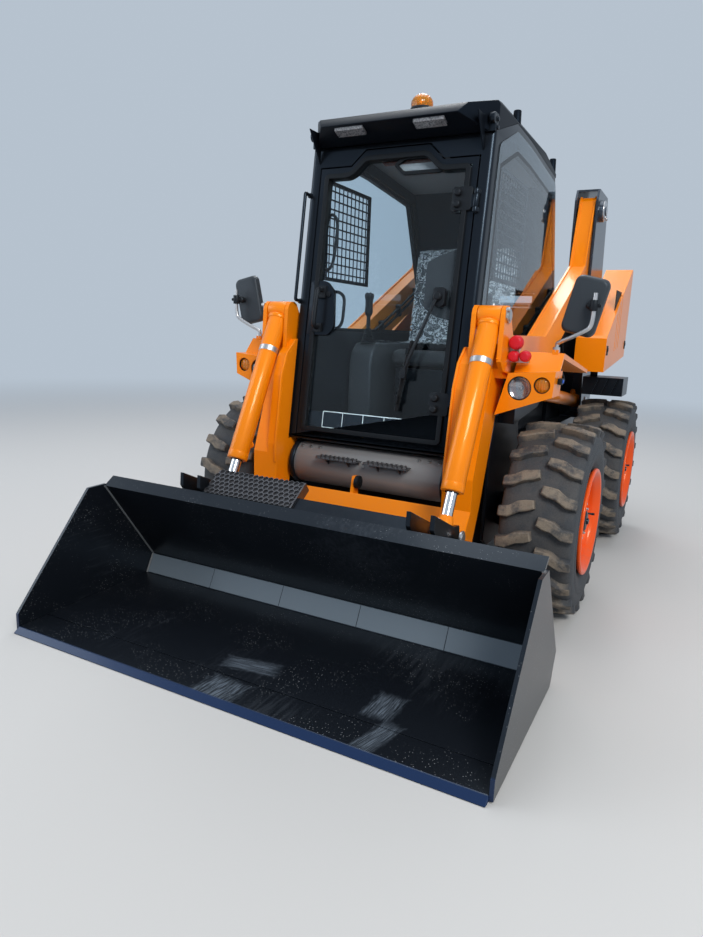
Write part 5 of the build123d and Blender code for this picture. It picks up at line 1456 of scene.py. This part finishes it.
prism(mesh, [(y - 0.008, z + 0.002) for y, z in LEG_FRONT] + [(y + 0.004, z) for y, z in reversed(LEG_FRONT)],
      0.3855, 0.3945)
soften(mesh, 0.002, 2)
piece("leg_edges", mesh, ORANGE, "boom", pair=True)
# The bucket's floor, its sloping strip and its back, as y and z where they meet
FLOOR_END, STRIP_END, BACK_TOP = vec(0, -1.0935, 0.033), vec(0, -1.0535, 0.113), vec(0, -1.3145, 0.476)
mesh = bmesh.new()
for low, high in ((FLOOR_END, STRIP_END), (STRIP_END, BACK_TOP)):
    bar(mesh, low + vec(0.8905, 0, 0), high + vec(0.8905, 0, 0), 0.005, 10)
piece("bucket_welds", mesh, WELD, "bucket", smooth=60, pair=True)
# The plates' pale blue-grey finish is a painted reflection of the sky on the black strip.
STRIP_PLATES = 5
rise = STRIP_END - FLOOR_END
out = vec(0, -rise.z, rise.y).normalized() * 0.0015
ends = [FLOOR_END + rise * 0.03, FLOOR_END + rise * 0.97]
outline = [(p.y, p.z) for p in (*ends, ends[1] + out, ends[0] + out)]
mesh = bmesh.new()
for number in range(STRIP_PLATES):
    left = -0.885 + number * 0.3545
    prism(mesh, outline, left, left + 0.352)
soften(mesh, 0.0005, 1)
piece("bucket_strip_plates", mesh, SKY_REFLECTION_STRIP, "bucket")
mesh = bmesh.new()
for y, z in ((1.535, 1.11), (0.775, 1.08)):
    block(mesh, (0.716, y - 0.02, z - 0.026), (0.7215, y + 0.02, z + 0.026))
    stud(mesh, (0.7215, y, z + 0.004), 0.003, 0.011, 20)
soften(mesh, 0.002, 2)
piece("side_box_latches", mesh, PLASTIC, pair=True)
# A black sheet behind each side box's slots: painted shade for the box's inside.
mesh = bmesh.new()
block(mesh, (0.7, 1.02, 1.05), (0.704, 1.24, 1.42))
piece("side_box_vent_shade_sheets", mesh, SEAL, pair=True)
print("lower details done")

# %% [markdown]
# The cab is welded from round-cornered tube. In the CAD model its corners are sharp, to stay light, so the
# frame is copied here, and the long outer edges of its posts get a wide bevel before the others get a narrow
# one. The roof is copied without its two stubs, which stand further out, on the left edge.

# %% Cab shell and roof
CAB_SIDE_X, NEAR = 0.405, 5e-4
CAD_STUBS, CAD_STUB_RADIUS = ((0.312, -0.1885), (0.312, 0.4915)), 0.0185


def copied(node):
    """A CAD node's mesh with its points merged."""
    mesh = bmesh.new()
    mesh.from_mesh(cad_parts[node].data)
    bmesh.ops.remove_doubles(mesh, verts=mesh.verts, dist=SAME_POINT)
    return mesh


def dissolve_flat(mesh):
    """Make flat faces whole again."""
    bmesh.ops.dissolve_limit(mesh, angle_limit=math.radians(1), verts=mesh.verts, edges=mesh.edges)


def on_post(vert):
    """True for a point on a post's outer edge, at the front or at the back."""
    plane = DOOR_FOOT_Y + DOOR_LEAN * (vert.co.z - DOOR_FOOT_Z)
    return abs(abs(vert.co.x) - CAB_SIDE_X) < NEAR and (abs(vert.co.y - plane) < NEAR or vert.co.y > 0.53)


mesh = copied("cab_frame")
dissolve_flat(mesh)
posts = [e for e in mesh.edges if e.calc_length() > 0.1 and all(on_post(v) for v in e.verts)]
round_edges(mesh, posts, 0.018, 5)
print("posts' edges:", len(posts))
soften(mesh, 0.003, 2)
piece("cab_shell", mesh, BLACK, "chassis", ("cab_frame",))
mesh = copied("cab_roof")
in_stub = set()
for x, y in CAD_STUBS:
    in_stub |= {v for v in mesh.verts if math.hypot(v.co.x - x, v.co.y - y) < CAD_STUB_RADIUS}
bmesh.ops.delete(mesh, geom=[f for f in mesh.faces if in_stub.issuperset(f.verts)], context="FACES")
bmesh.ops.holes_fill(mesh, edges=[e for e in mesh.edges if e.is_boundary], sides=0)
dissolve_flat(mesh)
soften(mesh, 0.006, 3)
piece("roof_shell", mesh, ROOF_BLACK, "chassis", ("cab_roof",))
STUB = [(0.0, 0.0), (0.0, 0.0195), (0.012, 0.0185), (0.075, 0.0165), (0.078, 0.0145), (0.078, 0.0105),
        (0.06, 0.0105), (0.06, 0.0)]
mesh = turned((STUB, (0.384, -0.195, 1.99), UP, 32), (STUB, (0.384, 0.52, 1.9588), UP, 32))
piece("roof_stubs", mesh, ROOF_BLACK, smooth=50)
print("cab shell done")

# %% [markdown]
# The back of the machine is where its driver fills it up and opens it. The hood has a louvred air outlet, a
# filler cap and the end of the exhaust. The rear door has a turning latch.

# %% Hood and rear door fittings
HOOD = Matrix.Translation((0, 0.7865, 1.3)) @ Matrix.Rotation(math.atan(60 / 850), 4, "X")
FILLER, EXHAUST, GRIPS, LOUVRES = vec(0.27, 0.16, 0), vec(-0.28, 0.17, 0), 12, 11
mesh = bmesh.new()
for number in range(LOUVRES):
    y = 0.3 + number * 0.032
    prism(mesh, [(y, 0.0), (y + 0.022, 0.0), (y + 0.004, 0.012), (y, 0.012)], -0.17, 0.17)
for low_x, low_y, high_x, high_y in ((-0.185, 0.285, 0.185, 0.297), (-0.185, 0.655, 0.185, 0.667),
                                     (-0.185, 0.285, -0.171, 0.667), (0.171, 0.285, 0.185, 0.667)):
    block(mesh, (low_x, low_y, 0.0), (high_x, high_y, 0.014))
soften(mesh, 0.0012, 1)
move(mesh, HOOD)
piece("hood_air_outlet", mesh, BLACK)
mesh = turned(([(-0.004, 0.0), (-0.004, 0.046), (0.006, 0.046), (0.008, 0.04), (0.026, 0.038), (0.031, 0.033),
                (0.032, 0.0)], FILLER, UP, 40))
for number in range(GRIPS):
    angle = number * math.tau / GRIPS
    rib = FILLER + vec(0.038 * math.cos(angle), 0.038 * math.sin(angle), 0)
    bar(mesh, rib + vec(0, 0, 0.009), rib + vec(0, 0, 0.026), 0.0035, 8)
move(mesh, HOOD)
piece("fuel_cap", mesh, PLASTIC, smooth=50)
mesh = bmesh.new()
bends = ((0, -0.01), (0, 0.06), (0.008, 0.092), (0.045, 0.112))
pipe(mesh, [EXHAUST + vec(0, y, z) for y, z in bends], 0.027, 24)
lathe(mesh, [(-0.004, 0.0), (-0.004, 0.048), (0.004, 0.048), (0.006, 0.03), (0.014, 0.0275)], EXHAUST, UP, 40)
move(mesh, HOOD)
piece("exhaust_end", mesh, STEEL, smooth=60)
mesh = turned(([(-0.002, 0.0), (-0.002, 0.036), (0.005, 0.034), (0.007, 0.02), (0.016, 0.017), (0.018, 0.0)],
               (0.35, 1.6665, 1.02), BACKWARD, 36))
soften(mesh, 0.003, 2, verts=block(mesh, (0.336, 1.678, 0.985), (0.364, 1.69, 1.055)))
piece("rear_door_latch", mesh, PLASTIC, "rear_door")
print("back done")
